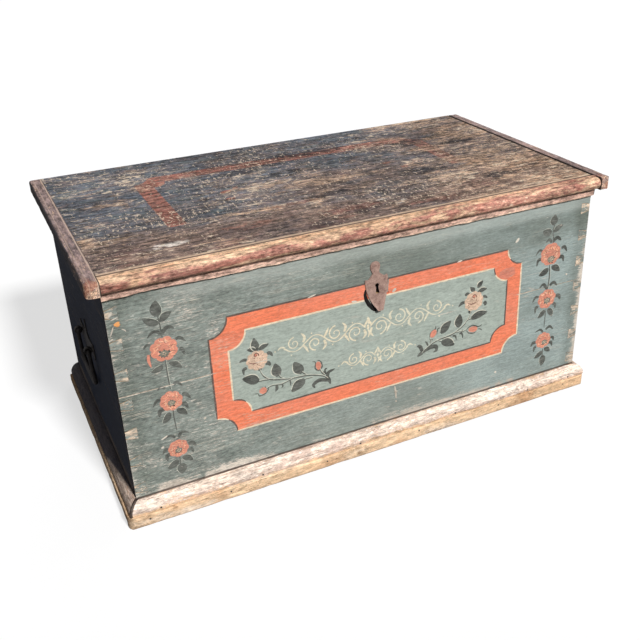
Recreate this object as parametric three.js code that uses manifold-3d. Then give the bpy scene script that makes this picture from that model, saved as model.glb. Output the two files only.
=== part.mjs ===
import * as THREE from 'three';
import { mergeVertices } from 'three/addons/utils/BufferGeometryUtils.js';
import Module from 'manifold-3d';

// A painted pine blanket chest of the country kind: a dovetailed box on a two-step plinth, with a flat
// lid on strap hinges, a box lock and a bail handle at each end.
// Millimetres, +Z up, the front faces -Y. The origin is on the floor under the middle of the chest.

// Carcass
const bodyWidth = 1180;
const bodyDepth = 650;
const carcassHeight = 560;
const boardThickness = 25;
const seamGap = 0.6;

// Dovetails: tails on the front and back boards, pins on the side boards
const pinCount = 7;
const lowestPin = 86;
const highestPinDrop = 54;
const pinWide = 28;
const pinNarrow = 15;
const halfPinWide = 11;

// Seams between the boards of a wall: each lies in the tail above a number of whole pins, at a share of
// that tail's height
const pinCountBelowFrontSeam = 4;
const frontSeamLeftShare = 0.19;
const frontSeamRightShare = 0.07;
const pinCountBelowBackSeam = 4;
const backSeamShare = 0.52;
const pinCountBelowSideSeam = 3;
const sideSeamShare = 0.52;

// Bottom boards, let into the walls
const bottomBoardCount = 3;
const bottomHeight = 42;
const bottomThickness = 18;
const bottomHousing = 8;
const bottomBoardGap = 1.2;

// Till, an open box across the left end
const tillWidth = 130;
const tillDepth = 112;
const tillDrop = 16;
const tillFrontThickness = 13;
const tillBottomThickness = 12;
const tillHousing = 6;

// Plinth: a mitred moulding over a base strip with a rounded edge
const plinthHeight = 62;
const baseStripHeight = 32;
const baseReach = 27;
const baseLowerRound = 10;
const baseUpperRound = 5;
const baseCornerRound = 16;
const baseSplice = 245;
const mouldingReach = 22;
const mouldingTopEdge = 4;
const mouldingFlat = 7;
const leftMitreOpening = 2.4;
const tierGap = 1.4;

// Lid
const lidThickness = 27;
const lidSeamLeft = 184;
const lidSeamRight = 163;
const cleatWidth = 29;
const cleatHeight = 30;
const cleatClearance = 2;
const cleatTopRound = 7;
const cleatUnderRound = 3;
const cleatFrontRound = 11;
const shrinkageGap = 3.2;
const tongueThickness = 8;
const tongueLength = 10;

// Front moulding of the lid: a nosing over a hanging lip
const nosingDepth = 27.6;
const nosingHeight = 30;
const nosingFlat = 8;
const nosingQuirk = 1.6;
const lipDrop = 52;
const lipReach = 10;
const lipTaper = 2;
const lipClearance = 1.5;
const noseMiddleShare = 0.46;

// Strap hinges
const hingeOffset = 380;
const knuckleRadius = 7;
const knuckleWidth = 13;
const hingePinRadius = 3.4;
const hingePinHeadRadius = 5.4;
const hingePinHeadThickness = 2;
const hingeIron = 3;
const strapWidth = 38;
const strapTipWidth = 18;
const strapTipRadius = 15;
const strapLength = 270;
const leafLength = 118;
const leafTipRadius = 15;
const notchClearance = 1.5;

// Escutcheon, sheet iron bent away from the wood at its lower end
const keyholeOffset = -3;
const keyholeBelowRim = 127;
const escutcheonWidth = 57;
const escutcheonHeight = 119;
const escutcheonIron = 1.8;
const escutcheonTilt = 5;
const escutcheonKeyholeRise = 61;
const escutcheonBendStart = 40;
const escutcheonBendStandOff = 9;

// Keyhole
const keyholeRadius = 4.6;
const keyholeFootTop = 5.6;
const keyholeFootBottom = 9;
const keyholeDrop = 21;
const keyholeWoodMargin = 1;

// Box lock on the inside of the front
const lockHalfWidth = 80;
const lockTopDrop = 4;
const lockBelowKeyhole = 36;
const lockDepth = 28;
const lockIron = 2.5;
const boltThickness = 6;
const boltBarHeight = 12;
const boltTopDrop = 11;
const boltRearReach = 74;
const boltNose = 8;
const boltTravel = 14;
const boltArmWidth = 14;
const boltArmOffset = 44;
const talonRise = 13;
const talonBarReach = 16;
const talonWidth = 14;
const talonDepth = 6;
const guideWidth = 8;
const guideRim = 4;
const guideRear = 62;
const guideFront = 10;
const boltClearance = 0.6;
const keyPinRadius = 2.6;
const keyPinHeadRadius = 5;
const keyPinHeadThickness = 1.6;
const keyPinSetback = 5;

// Staple under the lid
const stapleIron = 6;
const stapleRim = 4.5;
const staplePlateLength = 64;
const staplePlateWidth = 24;
const staplePlateThickness = 2.2;
const stapleEyeClearance = 1.6;
const mouthClearance = 2.6;

// Bail handles at the ends
const handleBelowRim = 260;
const handleForward = 8;
const handleIron = 2.4;
const platePitch = 112;
const plateHalfHeight = 15;
const plateSpike = 52;
const plateArm = 24;
const plateFoot = 24;
const eyeStandOff = 12;
const eyeHoleRadius = 6;
const eyeRim = 3;
const eyeThickness = 9;
const eyeShankRadius = 3.4;
const eyeShankDepth = 20;
const bailDrop = 88;
const bailRadius = 4.6;
const bailGripRadius = 7;
const bailKnobRadius = 6.8;
const bailKnobLength = 7;
const knobEndShare = 0.75;
const gripShare = 0.3;
const bailEnd = 12;
const bailShoulder = 13;
const bailCorner = 26;
const bailLean = 4;
const bailStep = 6;

// Fits and cuts
const seatGap = 0.3;
const pinFit = 0.5;
const overrun = 5;

// Facets
const arcSteps = 6;
const roundSteps = 20;
const bailSides = 10;

const up = new THREE.Vector3(0, 0, 1);
const halfWidth = bodyWidth / 2;
const halfDepth = bodyDepth / 2;
const innerHalfWidth = halfWidth - boardThickness;
const innerHalfDepth = halfDepth - boardThickness;
const lidUnderside = carcassHeight + seatGap;
const keyholeHeight = carcassHeight - keyholeBelowRim;
const handleHeight = carcassHeight - handleBelowRim;
const cleatInner = halfWidth + cleatClearance;

const wasm = await Module();
wasm.setup();

// Solids and joins

function solidOf(geometry) {
  const bare = geometry.clone();
  bare.deleteAttribute('normal');
  bare.deleteAttribute('uv');
  const merged = mergeVertices(bare);
  const mesh = new wasm.Mesh({
    numProp: 3,
    vertProperties: new Float32Array(merged.attributes.position.array),
    triVerts: new Uint32Array(merged.index.array),
  });
  return new wasm.Manifold(mesh);
}

function geometryOf(solid) {
  const mesh = solid.getMesh();
  const geometry = new THREE.BufferGeometry();
  geometry.setAttribute('position', new THREE.BufferAttribute(mesh.vertProperties, 3));
  geometry.setIndex(new THREE.BufferAttribute(mesh.triVerts, 1));
  geometry.computeVertexNormals();
  return geometry;
}

function cut(base, tools) {
  let solid = solidOf(base);
  for (const tool of tools) {
    solid = solid.subtract(solidOf(tool));
  }
  return geometryOf(solid);
}

function join(first, ...others) {
  let solid = solidOf(first);
  for (const other of others) {
    solid = solid.add(solidOf(other));
  }
  return geometryOf(solid);
}

function common(first, ...others) {
  let solid = solidOf(first);
  for (const other of others) {
    solid = solid.intersect(solidOf(other));
  }
  return geometryOf(solid);
}

// Blocks and prisms: a range is [low, high] along its axis

function block(xRange, yRange, zRange) {
  const spans = [xRange, yRange, zRange].map(([low, high]) => high - low);
  const middles = [xRange, yRange, zRange].map(([low, high]) => (low + high) / 2);
  return new THREE.BoxGeometry(...spans).translate(...middles);
}

function extrude(shape, [low, high], sideways, upwards) {
  const geometry = new THREE.ExtrudeGeometry(shape, {
    depth: high - low,
    bevelEnabled: false,
    curveSegments: arcSteps,
  });
  geometry.translate(0, 0, low);
  const onwards = new THREE.Vector3().crossVectors(sideways, upwards);
  return geometry.applyMatrix4(new THREE.Matrix4().makeBasis(sideways, upwards, onwards));
}

// An outline in X and Z, pushed along Y
function prismY(shape, [low, high]) {
  return extrude(shape, [-high, -low], new THREE.Vector3(1, 0, 0), up);
}

// An outline in Y and Z, pushed along X
function prismX(shape, range) {
  return extrude(shape, range, new THREE.Vector3(0, 1, 0), up);
}

// An outline in X and Y, pushed along Z
function prismZ(shape, range) {
  return extrude(shape, range, new THREE.Vector3(1, 0, 0), new THREE.Vector3(0, 1, 0));
}

function polygon(points) {
  return new THREE.Shape(points.map(([a, b]) => new THREE.Vector2(a, b)));
}

function disc(radius, holeRadius = 0) {
  const shape = new THREE.Shape().absarc(0, 0, radius, 0, 2 * Math.PI, false);
  if (holeRadius > 0) {
    shape.holes.push(new THREE.Path().absarc(0, 0, holeRadius, 0, 2 * Math.PI, true));
  }
  return new THREE.Shape(shape.getPoints(roundSteps / 2), shape.holes);
}

// A round bar along X with its middle on the axis, with an optional hole
function barX(radius, range, holeRadius = 0) {
  const shape = disc(radius, holeRadius);
  const geometry = new THREE.ExtrudeGeometry(shape, {
    depth: range[1] - range[0],
    bevelEnabled: false,
    curveSegments: roundSteps / 2,
  });
  geometry.translate(0, 0, range[0]);
  return geometry.applyMatrix4(
    new THREE.Matrix4().makeBasis(new THREE.Vector3(0, 1, 0), up, new THREE.Vector3(1, 0, 0)),
  );
}

function barY(radius, range, holeRadius = 0) {
  return barX(radius, range, holeRadius).rotateZ(Math.PI / 2);
}

function part(name, geometry, finish) {
  const mesh = new THREE.Mesh(geometry, new THREE.MeshStandardMaterial(finish));
  mesh.name = name;
  return mesh;
}

// Finishes

const paintedGreen = { color: 0x6d8079, roughness: 0.75, metalness: 0 };
const shadeGreen = { color: 0x5f7069, roughness: 0.8, metalness: 0 };
const bareBack = { color: 0xa98862, roughness: 0.85, metalness: 0 };
const insidePine = { color: 0xb99a6e, roughness: 0.8, metalness: 0 };
const wornPink = { color: 0xd7b9a5, roughness: 0.75, metalness: 0 };
const wornYellow = { color: 0xd7af78, roughness: 0.75, metalness: 0 };
const wornLid = { color: 0x5f625f, roughness: 0.8, metalness: 0 };
const rustedIron = { color: 0x7d645a, roughness: 0.65, metalness: 0.6 };
const blackIron = { color: 0x1c1a1a, roughness: 0.6, metalness: 0.7 };

// Dovetails

const pinPitch = (carcassHeight - lowestPin - highestPinDrop) / (pinCount - 1);
const fullPins = Array.from({ length: pinCount }, (_, row) => ({
  centre: lowestPin + row * pinPitch,
  wideHalf: pinWide / 2,
  narrowHalf: pinNarrow / 2,
}));
const flare = (pinWide - pinNarrow) / 2;
const edgePins = [0, carcassHeight].map((centre) => ({
  centre,
  wideHalf: halfPinWide,
  narrowHalf: halfPinWide - flare,
}));
const pins = [...fullPins, ...edgePins];

function seamHeight(countBelow, share) {
  const tailLow = lowestPin + (countBelow - 1) * pinPitch + pinWide / 2;
  return tailLow + share * (pinPitch - pinWide);
}

// The section of a pin at the left corner: narrow at the outer face, wide at the inner one
function pinSection(pin, margin, outerX) {
  const innerX = -innerHalfWidth + margin;
  return polygon([
    [outerX, pin.centre - pin.narrowHalf - margin],
    [innerX, pin.centre - pin.wideHalf - margin],
    [innerX, pin.centre + pin.wideHalf + margin],
    [outerX, pin.centre + pin.narrowHalf + margin],
  ]);
}

function turned(geometry) {
  return geometry.clone().rotateZ(Math.PI);
}

// Sockets for the pins at both ends of a front or back board
function pinSockets(yRange) {
  const sockets = [];
  for (const pin of pins) {
    const socket = prismY(pinSection(pin, seatGap, -halfWidth - overrun), yRange);
    sockets.push(socket, turned(socket).translate(0, yRange[0] + yRange[1], 0));
  }
  return sockets;
}

// A left side board with its pins; the right one is turned half round
function sideBoard(low, high) {
  const endY = innerHalfDepth - seatGap;
  let board = block([-halfWidth, -innerHalfWidth], [-endY, endY], [low, high]);
  for (const pin of pins.filter(({ centre }) => centre >= low && centre <= high)) {
    const section = pinSection(pin, 0, -halfWidth);
    board = join(board, prismY(section, [-halfDepth, halfDepth]));
  }
  const bounds = block([-halfWidth, -innerHalfWidth], [-halfDepth, halfDepth], [low, high]);
  return common(board, bounds);
}

// A front or back board with sloping long edges, given as [left, right] heights
function faceBoard(lowEdge, highEdge, yRange) {
  const outline = polygon([
    [-halfWidth, lowEdge[0]],
    [halfWidth, lowEdge[1]],
    [halfWidth, highEdge[1]],
    [-halfWidth, highEdge[0]],
  ]);
  return cut(prismY(outline, yRange), pinSockets(yRange));
}

// What the boards make room for

function bottomPanel(margin) {
  const reachX = innerHalfWidth + bottomHousing - seatGap + margin;
  const reachY = innerHalfDepth + bottomHousing - seatGap + margin;
  return block(
    [-reachX, reachX],
    [-reachY, reachY],
    [bottomHeight - margin, bottomHeight + bottomThickness + margin],
  );
}

const tillTop = carcassHeight - tillDrop;
const tillFloor = tillTop - tillDepth;
const tillFrontX = -innerHalfWidth + tillWidth;

function tillFrontBlock(margin) {
  const reachY = innerHalfDepth + tillHousing - seatGap + margin;
  return block(
    [tillFrontX - margin, tillFrontX + tillFrontThickness + margin],
    [-reachY, reachY],
    [tillFloor + seatGap - margin, tillTop + margin],
  );
}

function tillBottomBlock(margin) {
  const reachY = innerHalfDepth + tillHousing - seatGap + margin;
  const leftX = -innerHalfWidth - tillHousing + seatGap - margin;
  return block(
    [leftX, tillFrontX + tillFrontThickness + margin],
    [-reachY, reachY],
    [tillFloor - tillBottomThickness - margin, tillFloor + margin],
  );
}

// Keyhole outline about the middle of its round, foot down, tilted with the escutcheon
function keyholeShape(margin) {
  const footTop = keyholeFootTop / 2 + margin;
  const footBottom = keyholeFootBottom / 2 + margin;
  const radius = keyholeRadius + margin;
  const angle = Math.asin(footTop / radius);
  const shape = new THREE.Shape();
  shape.absarc(0, 0, radius, angle - Math.PI / 2, 1.5 * Math.PI - angle, false);
  shape.lineTo(-footBottom, -keyholeDrop - margin);
  shape.lineTo(footBottom, -keyholeDrop - margin);
  return new THREE.Shape(shape.getPoints(arcSteps * 2));
}

function keyholeCut(margin, yRange) {
  const tilt = THREE.MathUtils.degToRad(-escutcheonTilt);
  return prismY(keyholeShape(margin), yRange)
    .rotateY(tilt)
    .translate(keyholeOffset, 0, keyholeHeight);
}

function strapNotch(offset) {
  const half = strapWidth / 2 + notchClearance;
  const depth = hingeIron + seatGap + notchClearance;
  return block(
    [offset - half, offset + half],
    [innerHalfDepth - overrun, halfDepth + overrun],
    [carcassHeight - depth, carcassHeight + overrun],
  );
}

function carcass() {
  const group = new THREE.Group();
  const frontY = [-halfDepth, -innerHalfDepth];
  const backY = [innerHalfDepth, halfDepth];
  const halfSeam = seamGap / 2;
  const housings = [bottomPanel(seatGap), tillFrontBlock(seatGap), tillBottomBlock(seatGap)];
  const keyway = keyholeCut(keyholeWoodMargin, [-halfDepth - overrun, -innerHalfDepth + overrun]);
  const notches = [strapNotch(-hingeOffset), strapNotch(hingeOffset)];

  const frontSeamLeft = seamHeight(pinCountBelowFrontSeam, frontSeamLeftShare);
  const frontSeamRight = seamHeight(pinCountBelowFrontSeam, frontSeamRightShare);
  const backSeam = seamHeight(pinCountBelowBackSeam, backSeamShare);
  const sideSeam = seamHeight(pinCountBelowSideSeam, sideSeamShare);

  const frontLower = faceBoard([0, 0], [frontSeamLeft - halfSeam, frontSeamRight - halfSeam], frontY);
  const frontUpper = faceBoard(
    [frontSeamLeft + halfSeam, frontSeamRight + halfSeam],
    [carcassHeight, carcassHeight],
    frontY,
  );
  const backLower = faceBoard([0, 0], [backSeam - halfSeam, backSeam - halfSeam], backY);
  const backUpper = faceBoard(
    [backSeam + halfSeam, backSeam + halfSeam],
    [carcassHeight, carcassHeight],
    backY,
  );
  group.add(part('front_lower_board', cut(frontLower, housings), paintedGreen));
  group.add(part('front_upper_board', cut(frontUpper, [...housings, keyway]), paintedGreen));
  group.add(part('back_lower_board', cut(backLower, housings), bareBack));
  group.add(part('back_upper_board', cut(backUpper, [...housings, ...notches]), bareBack));

  const lowerSide = sideBoard(0, sideSeam - halfSeam);
  const upperSide = sideBoard(sideSeam + halfSeam, carcassHeight);
  const eyeHolesLeft = eyePlaces.map((y) => eyeShankHole(y));
  const eyeHolesRight = eyeHolesLeft.map(mirroredHole);
  const leftCuts = [...housings, ...eyeHolesLeft];
  const rightCuts = [bottomPanel(seatGap), ...eyeHolesRight];
  group.add(part('left_side_lower_board', cut(lowerSide, leftCuts), shadeGreen));
  group.add(part('left_side_upper_board', cut(upperSide, leftCuts), shadeGreen));
  group.add(part('right_side_lower_board', cut(turned(lowerSide), rightCuts), shadeGreen));
  group.add(part('right_side_upper_board', cut(turned(upperSide), rightCuts), shadeGreen));
  return group;
}

function bottomBoards() {
  const group = new THREE.Group();
  const reachX = innerHalfWidth + bottomHousing - seatGap;
  const reachY = innerHalfDepth + bottomHousing - seatGap;
  const boardWidth = (2 * reachY - (bottomBoardCount - 1) * bottomBoardGap) / bottomBoardCount;
  for (let row = 0; row < bottomBoardCount; row += 1) {
    const frontEdge = -reachY + row * (boardWidth + bottomBoardGap);
    const board = block(
      [-reachX, reachX],
      [frontEdge, frontEdge + boardWidth],
      [bottomHeight, bottomHeight + bottomThickness],
    );
    group.add(part(`bottom_board_${row + 1}`, board, insidePine));
  }
  return group;
}

function till() {
  const group = new THREE.Group();
  group.add(part('till_front', tillFrontBlock(0), insidePine));
  group.add(part('till_bottom', tillBottomBlock(0), insidePine));
  return group;
}

// Plinth

// Reach from the wall is the first coordinate, height the second
function mouldingProfile() {
  const foot = baseStripHeight + tierGap;
  const shape = new THREE.Shape();
  shape.moveTo(seatGap, foot);
  shape.lineTo(mouldingReach, foot);
  shape.lineTo(mouldingReach, foot + mouldingFlat);
  const shoulder = foot + mouldingFlat;
  shape.quadraticCurveTo(mouldingReach, plinthHeight - mouldingTopEdge, mouldingTopEdge, plinthHeight);
  shape.lineTo(seatGap, plinthHeight);
  shape.lineTo(seatGap, shoulder);
  return shape;
}

function baseProfile() {
  const shape = new THREE.Shape();
  shape.moveTo(seatGap, 0);
  shape.lineTo(baseReach - baseLowerRound, 0);
  shape.quadraticCurveTo(baseReach, 0, baseReach, baseLowerRound);
  shape.lineTo(baseReach, baseStripHeight - baseUpperRound);
  shape.quadraticCurveTo(baseReach, baseStripHeight, baseReach - baseUpperRound, baseStripHeight);
  shape.lineTo(seatGap, baseStripHeight);
  return shape;
}

// A moulded run along a wall that faces outward; a mitre of 1 is 45 degrees past the wall's corner
function mitredRun(profile, length, outward, startMitre, endMitre) {
  const geometry = new THREE.ExtrudeGeometry(profile, {
    depth: length,
    bevelEnabled: false,
    curveSegments: arcSteps,
  });
  const position = geometry.attributes.position;
  for (let i = 0; i < position.count; i += 1) {
    const reach = position.getX(i);
    const along = position.getZ(i);
    const shift = along > length / 2 ? endMitre * reach : -startMitre * reach;
    position.setZ(i, along + shift);
  }
  const onwards = new THREE.Vector3().crossVectors(outward, up);
  return geometry.applyMatrix4(new THREE.Matrix4().makeBasis(outward, up, onwards));
}

function plinth() {
  const group = new THREE.Group();
  const profile = mouldingProfile();
  const toFront = new THREE.Vector3(0, -1, 0);
  const toLeft = new THREE.Vector3(-1, 0, 0);
  const toRight = new THREE.Vector3(1, 0, 0);

  const frontLength = bodyWidth - 2 * seatGap;
  const front = mitredRun(profile, frontLength, toFront, 1, 1);
  front.translate(frontLength / 2, -halfDepth, 0);
  const leftLength = bodyDepth - leftMitreOpening;
  const left = mitredRun(profile, leftLength, toLeft, 1, 0);
  left.translate(-halfWidth, -halfDepth + leftMitreOpening, 0);
  const rightLength = bodyDepth - seatGap;
  const right = mitredRun(profile, rightLength, toRight, 0, 1);
  right.translate(halfWidth, halfDepth, 0);
  group.add(part('plinth_front_moulding', front, wornPink));
  group.add(part('plinth_left_moulding', left, wornPink));
  group.add(part('plinth_right_moulding', right, wornPink));

  const strip = baseProfile();
  const fullWidth = bodyWidth + 2 * baseReach;
  const straightFront = mitredRun(strip, fullWidth, toFront, 0, 0);
  straightFront.translate(fullWidth / 2, -halfDepth, 0);
  const frontStrip = common(straightFront, roundedFootprint());
  const sideStart = -halfDepth + seatGap;
  const spliceY = -halfDepth + baseSplice;
  const leftFront = mitredRun(strip, spliceY - seatGap - sideStart, toLeft, 0, 0);
  leftFront.translate(-halfWidth, sideStart, 0);
  const leftBack = mitredRun(strip, halfDepth - spliceY, toLeft, 0, 0);
  leftBack.translate(-halfWidth, spliceY, 0);
  const rightStrip = mitredRun(strip, halfDepth - sideStart, toRight, 0, 0);
  rightStrip.translate(halfWidth, halfDepth, 0);
  group.add(part('base_front_strip', frontStrip, wornYellow));
  group.add(part('base_left_front_strip', leftFront, wornYellow));
  group.add(part('base_left_back_strip', leftBack, wornYellow));
  group.add(part('base_right_strip', rightStrip, wornYellow));
  return group;
}

// The plan of the front strip, with its two outer corners rounded
function roundedFootprint() {
  const endX = halfWidth + baseReach;
  const frontY = -halfDepth - baseReach;
  const shape = new THREE.Shape();
  shape.moveTo(-endX, -halfDepth + overrun);
  shape.lineTo(-endX, frontY + baseCornerRound);
  shape.quadraticCurveTo(-endX, frontY, -endX + baseCornerRound, frontY);
  shape.lineTo(endX - baseCornerRound, frontY);
  shape.quadraticCurveTo(endX, frontY, endX, frontY + baseCornerRound);
  shape.lineTo(endX, -halfDepth + overrun);
  return prismZ(shape, [-overrun, baseStripHeight + overrun]);
}

// Lid, with heights measured from its underside

function tongue(xRange, yRange) {
  const middle = lidThickness / 2;
  return block(xRange, yRange, [middle - tongueThickness / 2, middle + tongueThickness / 2]);
}

// A lid board between two long edges, each given as [left, right] depths, with a tongue at each end
function lidBoard(nearEdge, farEdge) {
  const leftX = -cleatInner + seatGap;
  const rightX = cleatInner - shrinkageGap;
  const tongueLeft = -cleatInner - tongueLength + seatGap;
  const tongueRight = cleatInner + tongueLength - shrinkageGap;
  const outline = polygon([
    [leftX, nearEdge[0]],
    [rightX, nearEdge[1]],
    [rightX, farEdge[1]],
    [leftX, farEdge[0]],
  ]);
  const board = prismZ(outline, [0, lidThickness]);
  const leftTongue = tongue([tongueLeft, leftX + overrun], [nearEdge[0], farEdge[0]]);
  const rightTongue = tongue([rightX - overrun, tongueRight], [nearEdge[1], farEdge[1]]);
  const footprint = prismZ(polygon([
    [tongueLeft, nearEdge[0]],
    [leftX, nearEdge[0]],
    [rightX, nearEdge[1]],
    [tongueRight, nearEdge[1]],
    [tongueRight, farEdge[1]],
    [rightX, farEdge[1]],
    [leftX, farEdge[0]],
    [tongueLeft, farEdge[0]],
  ]), [0, lidThickness]);
  return common(join(board, leftTongue, rightTongue), footprint);
}

// A cleat: drawn for the right end and mirrored for the left one
function cleat(side) {
  const lowZ = lidThickness - cleatHeight;
  const outerX = cleatInner + cleatWidth;
  const section = new THREE.Shape();
  section.moveTo(cleatInner, lowZ);
  section.lineTo(outerX - cleatUnderRound, lowZ);
  section.quadraticCurveTo(outerX, lowZ, outerX, lowZ + cleatUnderRound);
  section.lineTo(outerX, lidThickness - cleatTopRound);
  section.quadraticCurveTo(outerX, lidThickness, outerX - cleatTopRound, lidThickness);
  section.lineTo(cleatInner, lidThickness);
  const frontY = -halfDepth - nosingDepth;
  const plan = new THREE.Shape();
  plan.moveTo(cleatInner - overrun, frontY);
  plan.lineTo(outerX - cleatFrontRound, frontY);
  plan.quadraticCurveTo(outerX, frontY, outerX, frontY + cleatFrontRound);
  plan.lineTo(outerX, halfDepth);
  plan.lineTo(cleatInner - overrun, halfDepth);
  const bar = prismY(section, [frontY, halfDepth]);
  const footprint = prismZ(plan, [lowZ - overrun, lidThickness + overrun]);
  const grooveEnd = halfDepth + seatGap;
  const middle = lidThickness / 2;
  const grooveHalf = tongueThickness / 2 + seatGap;
  const groove = block(
    [cleatInner - overrun, cleatInner + tongueLength],
    [-grooveEnd, grooveEnd],
    [middle - grooveHalf, middle + grooveHalf],
  );
  const right = cut(common(bar, footprint), [groove]);
  return side > 0 ? right : mirroredX(right);
}

// A left-hand copy of a right-hand piece
function mirroredX(geometry) {
  const copy = geometry.clone();
  const position = copy.attributes.position;
  for (let i = 0; i < position.count; i += 1) {
    position.setX(i, -position.getX(i));
  }
  const index = copy.index;
  for (let i = 0; i < index.count; i += 3) {
    const second = index.getX(i + 1);
    index.setX(i + 1, index.getX(i + 2));
    index.setX(i + 2, second);
  }
  copy.computeVertexNormals();
  return copy;
}

// Reach in front of the lid boards is the first coordinate, height the second
function nosingProfile() {
  const noseLow = lidThickness - nosingHeight;
  const lipLow = lidThickness - lipDrop;
  const noseMiddle = lidThickness - nosingHeight * noseMiddleShare;
  const shape = new THREE.Shape();
  shape.moveTo(seatGap, lidThickness);
  shape.lineTo(nosingFlat, lidThickness);
  shape.lineTo(nosingFlat, lidThickness - nosingQuirk);
  shape.quadraticCurveTo(nosingDepth, lidThickness - nosingQuirk, nosingDepth, noseMiddle);
  shape.quadraticCurveTo(nosingDepth, noseLow, lipReach + nosingQuirk, noseLow);
  shape.lineTo(lipReach + nosingQuirk, noseLow - nosingQuirk);
  shape.lineTo(lipReach, noseLow - nosingQuirk);
  shape.lineTo(lipReach - lipTaper, lipLow);
  shape.lineTo(lipClearance, lipLow);
  shape.lineTo(lipClearance, -seatGap);
  shape.lineTo(seatGap, -seatGap);
  return shape;
}

function lid() {
  const group = new THREE.Group();
  const halfSeam = seamGap / 2;
  const seamLeft = -halfDepth + lidSeamLeft;
  const seamRight = -halfDepth + lidSeamRight;
  const backEdge = [halfDepth, halfDepth];
  const frontEdge = [-halfDepth, -halfDepth];
  const backBoard = lidBoard([seamLeft + halfSeam, seamRight + halfSeam], backEdge);
  const frontBoard = lidBoard(frontEdge, [seamLeft - halfSeam, seamRight - halfSeam]);
  group.add(part('lid_back_board', backBoard, wornLid));
  group.add(part('lid_front_board', frontBoard, wornLid));
  group.add(part('lid_left_cleat', cleat(-1), wornLid));
  group.add(part('lid_right_cleat', cleat(1), wornLid));

  const mouldingLength = 2 * (cleatInner - seatGap);
  const moulding = mitredRun(nosingProfile(), mouldingLength, new THREE.Vector3(0, -1, 0), 0, 0);
  moulding.translate(mouldingLength / 2, -halfDepth, 0);
  group.add(part('lid_front_moulding', moulding, wornYellow));
  group.position.z = lidUnderside;
  return group;
}

// Hinges, about the axis of their pin

const hingeY = halfDepth + seatGap + knuckleRadius;
const hingeZ = carcassHeight - knuckleRadius;
const knuckleBore = hingePinRadius + pinFit;

function strap() {
  const half = strapWidth / 2;
  const neck = knuckleWidth / 2 - pinFit;
  const neckEnd = -knuckleRadius - 2 * seatGap;
  const tipCentre = -strapLength + strapTipRadius;
  const tipStart = tipCentre + Math.sqrt(strapTipRadius ** 2 - (strapTipWidth / 2) ** 2);
  const angle = Math.asin(strapTipWidth / 2 / strapTipRadius);
  const shape = new THREE.Shape();
  shape.moveTo(neck, 0);
  shape.lineTo(-neck, 0);
  shape.lineTo(-neck, neckEnd);
  shape.lineTo(-half, neckEnd - neck);
  shape.lineTo(-strapTipWidth / 2, tipStart);
  shape.absarc(0, tipCentre, strapTipRadius, Math.PI / 2 + angle, 2.5 * Math.PI - angle, false);
  shape.lineTo(half, neckEnd - neck);
  shape.lineTo(neck, neckEnd);
  const plate = prismZ(shape, [knuckleRadius - hingeIron, knuckleRadius]);
  const knuckle = barX(knuckleRadius, [-neck, neck]);
  const bore = barX(knuckleBore, [-neck - overrun, neck + overrun]);
  return cut(join(plate, knuckle), [bore]);
}

function leaf() {
  const half = strapWidth / 2;
  const tipCentre = -leafLength + leafTipRadius;
  const shape = new THREE.Shape();
  shape.moveTo(half, 0);
  shape.lineTo(-half, 0);
  shape.lineTo(-half, -strapWidth);
  shape.lineTo(-leafTipRadius, tipCentre);
  shape.absarc(0, tipCentre, leafTipRadius, Math.PI, 2 * Math.PI, false);
  shape.lineTo(half, -strapWidth);
  const plate = prismY(shape, [-knuckleRadius, -knuckleRadius + hingeIron]);
  const gapHalf = knuckleWidth / 2;
  const knuckle = barX(knuckleRadius, [-half, half]);
  const room = block(
    [-gapHalf, gapHalf],
    [-knuckleRadius - overrun, knuckleRadius + overrun],
    [-knuckleRadius - seatGap, knuckleRadius + overrun],
  );
  const bore = barX(knuckleBore, [-half - overrun, half + overrun]);
  return cut(join(plate, knuckle), [room, bore]);
}

function hingePin() {
  const half = strapWidth / 2 + seatGap;
  const shank = barX(hingePinRadius, [-half - overrun, half]);
  const head = barX(hingePinHeadRadius, [half, half + hingePinHeadThickness]);
  return join(shank, head);
}

function hinge(side, offset) {
  const group = new THREE.Group();
  group.add(part(`${side}_hinge_strap`, strap(), blackIron));
  group.add(part(`${side}_hinge_leaf`, leaf(), blackIron));
  group.add(part(`${side}_hinge_pin`, hingePin(), blackIron));
  group.position.set(offset, hingeY, hingeZ);
  return group;
}

// Escutcheon, with its outline given in shares of the half width and the height, from the tip up
const escutcheonOutlineShares = [
  [0.22, 0.0],
  [0.5, 0.13],
  [0.8, 0.3],
  [0.95, 0.46],
  [1.0, 0.6],
  [0.97, 0.68],
  [0.72, 0.665],
  [0.56, 0.7],
  [0.36, 0.745],
  [0.3, 0.78],
  [0.36, 0.83],
  [0.44, 0.9],
  [0.34, 0.97],
  [0.12, 1.0],
];

function escutcheonShape() {
  const half = escutcheonWidth / 2;
  const points = escutcheonOutlineShares.map(([x, z]) => [x * half, z * escutcheonHeight]);
  const rightSide = points.map(([x, z]) => new THREE.Vector2(x, z));
  const leftSide = points.map(([x, z]) => new THREE.Vector2(-x, z)).reverse();
  const shape = new THREE.Shape();
  shape.moveTo(rightSide[0].x, rightSide[0].y);
  shape.splineThru(rightSide.slice(1));
  shape.lineTo(leftSide[0].x, leftSide[0].y);
  shape.splineThru(leftSide.slice(1));
  return new THREE.Shape(shape.getPoints(2));
}

// The bent sheet seen from the side: flat against the wood above, curling away below
function escutcheonSheet() {
  const bent = (height) => {
    const below = Math.max(escutcheonBendStart - height, 0) / escutcheonBendStart;
    return -seatGap - escutcheonBendStandOff * below ** 2;
  };
  const heights = [escutcheonHeight + overrun];
  for (let step = 0; step <= 2 * arcSteps; step += 1) {
    heights.push(escutcheonBendStart - (step / (2 * arcSteps)) * (escutcheonBendStart + overrun));
  }
  const back = heights.map((height) => [bent(height), height]);
  const face = heights.map((height) => [bent(height) - escutcheonIron, height]).reverse();
  return prismX(polygon([...back, ...face]), [-escutcheonWidth, escutcheonWidth]);
}

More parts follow.
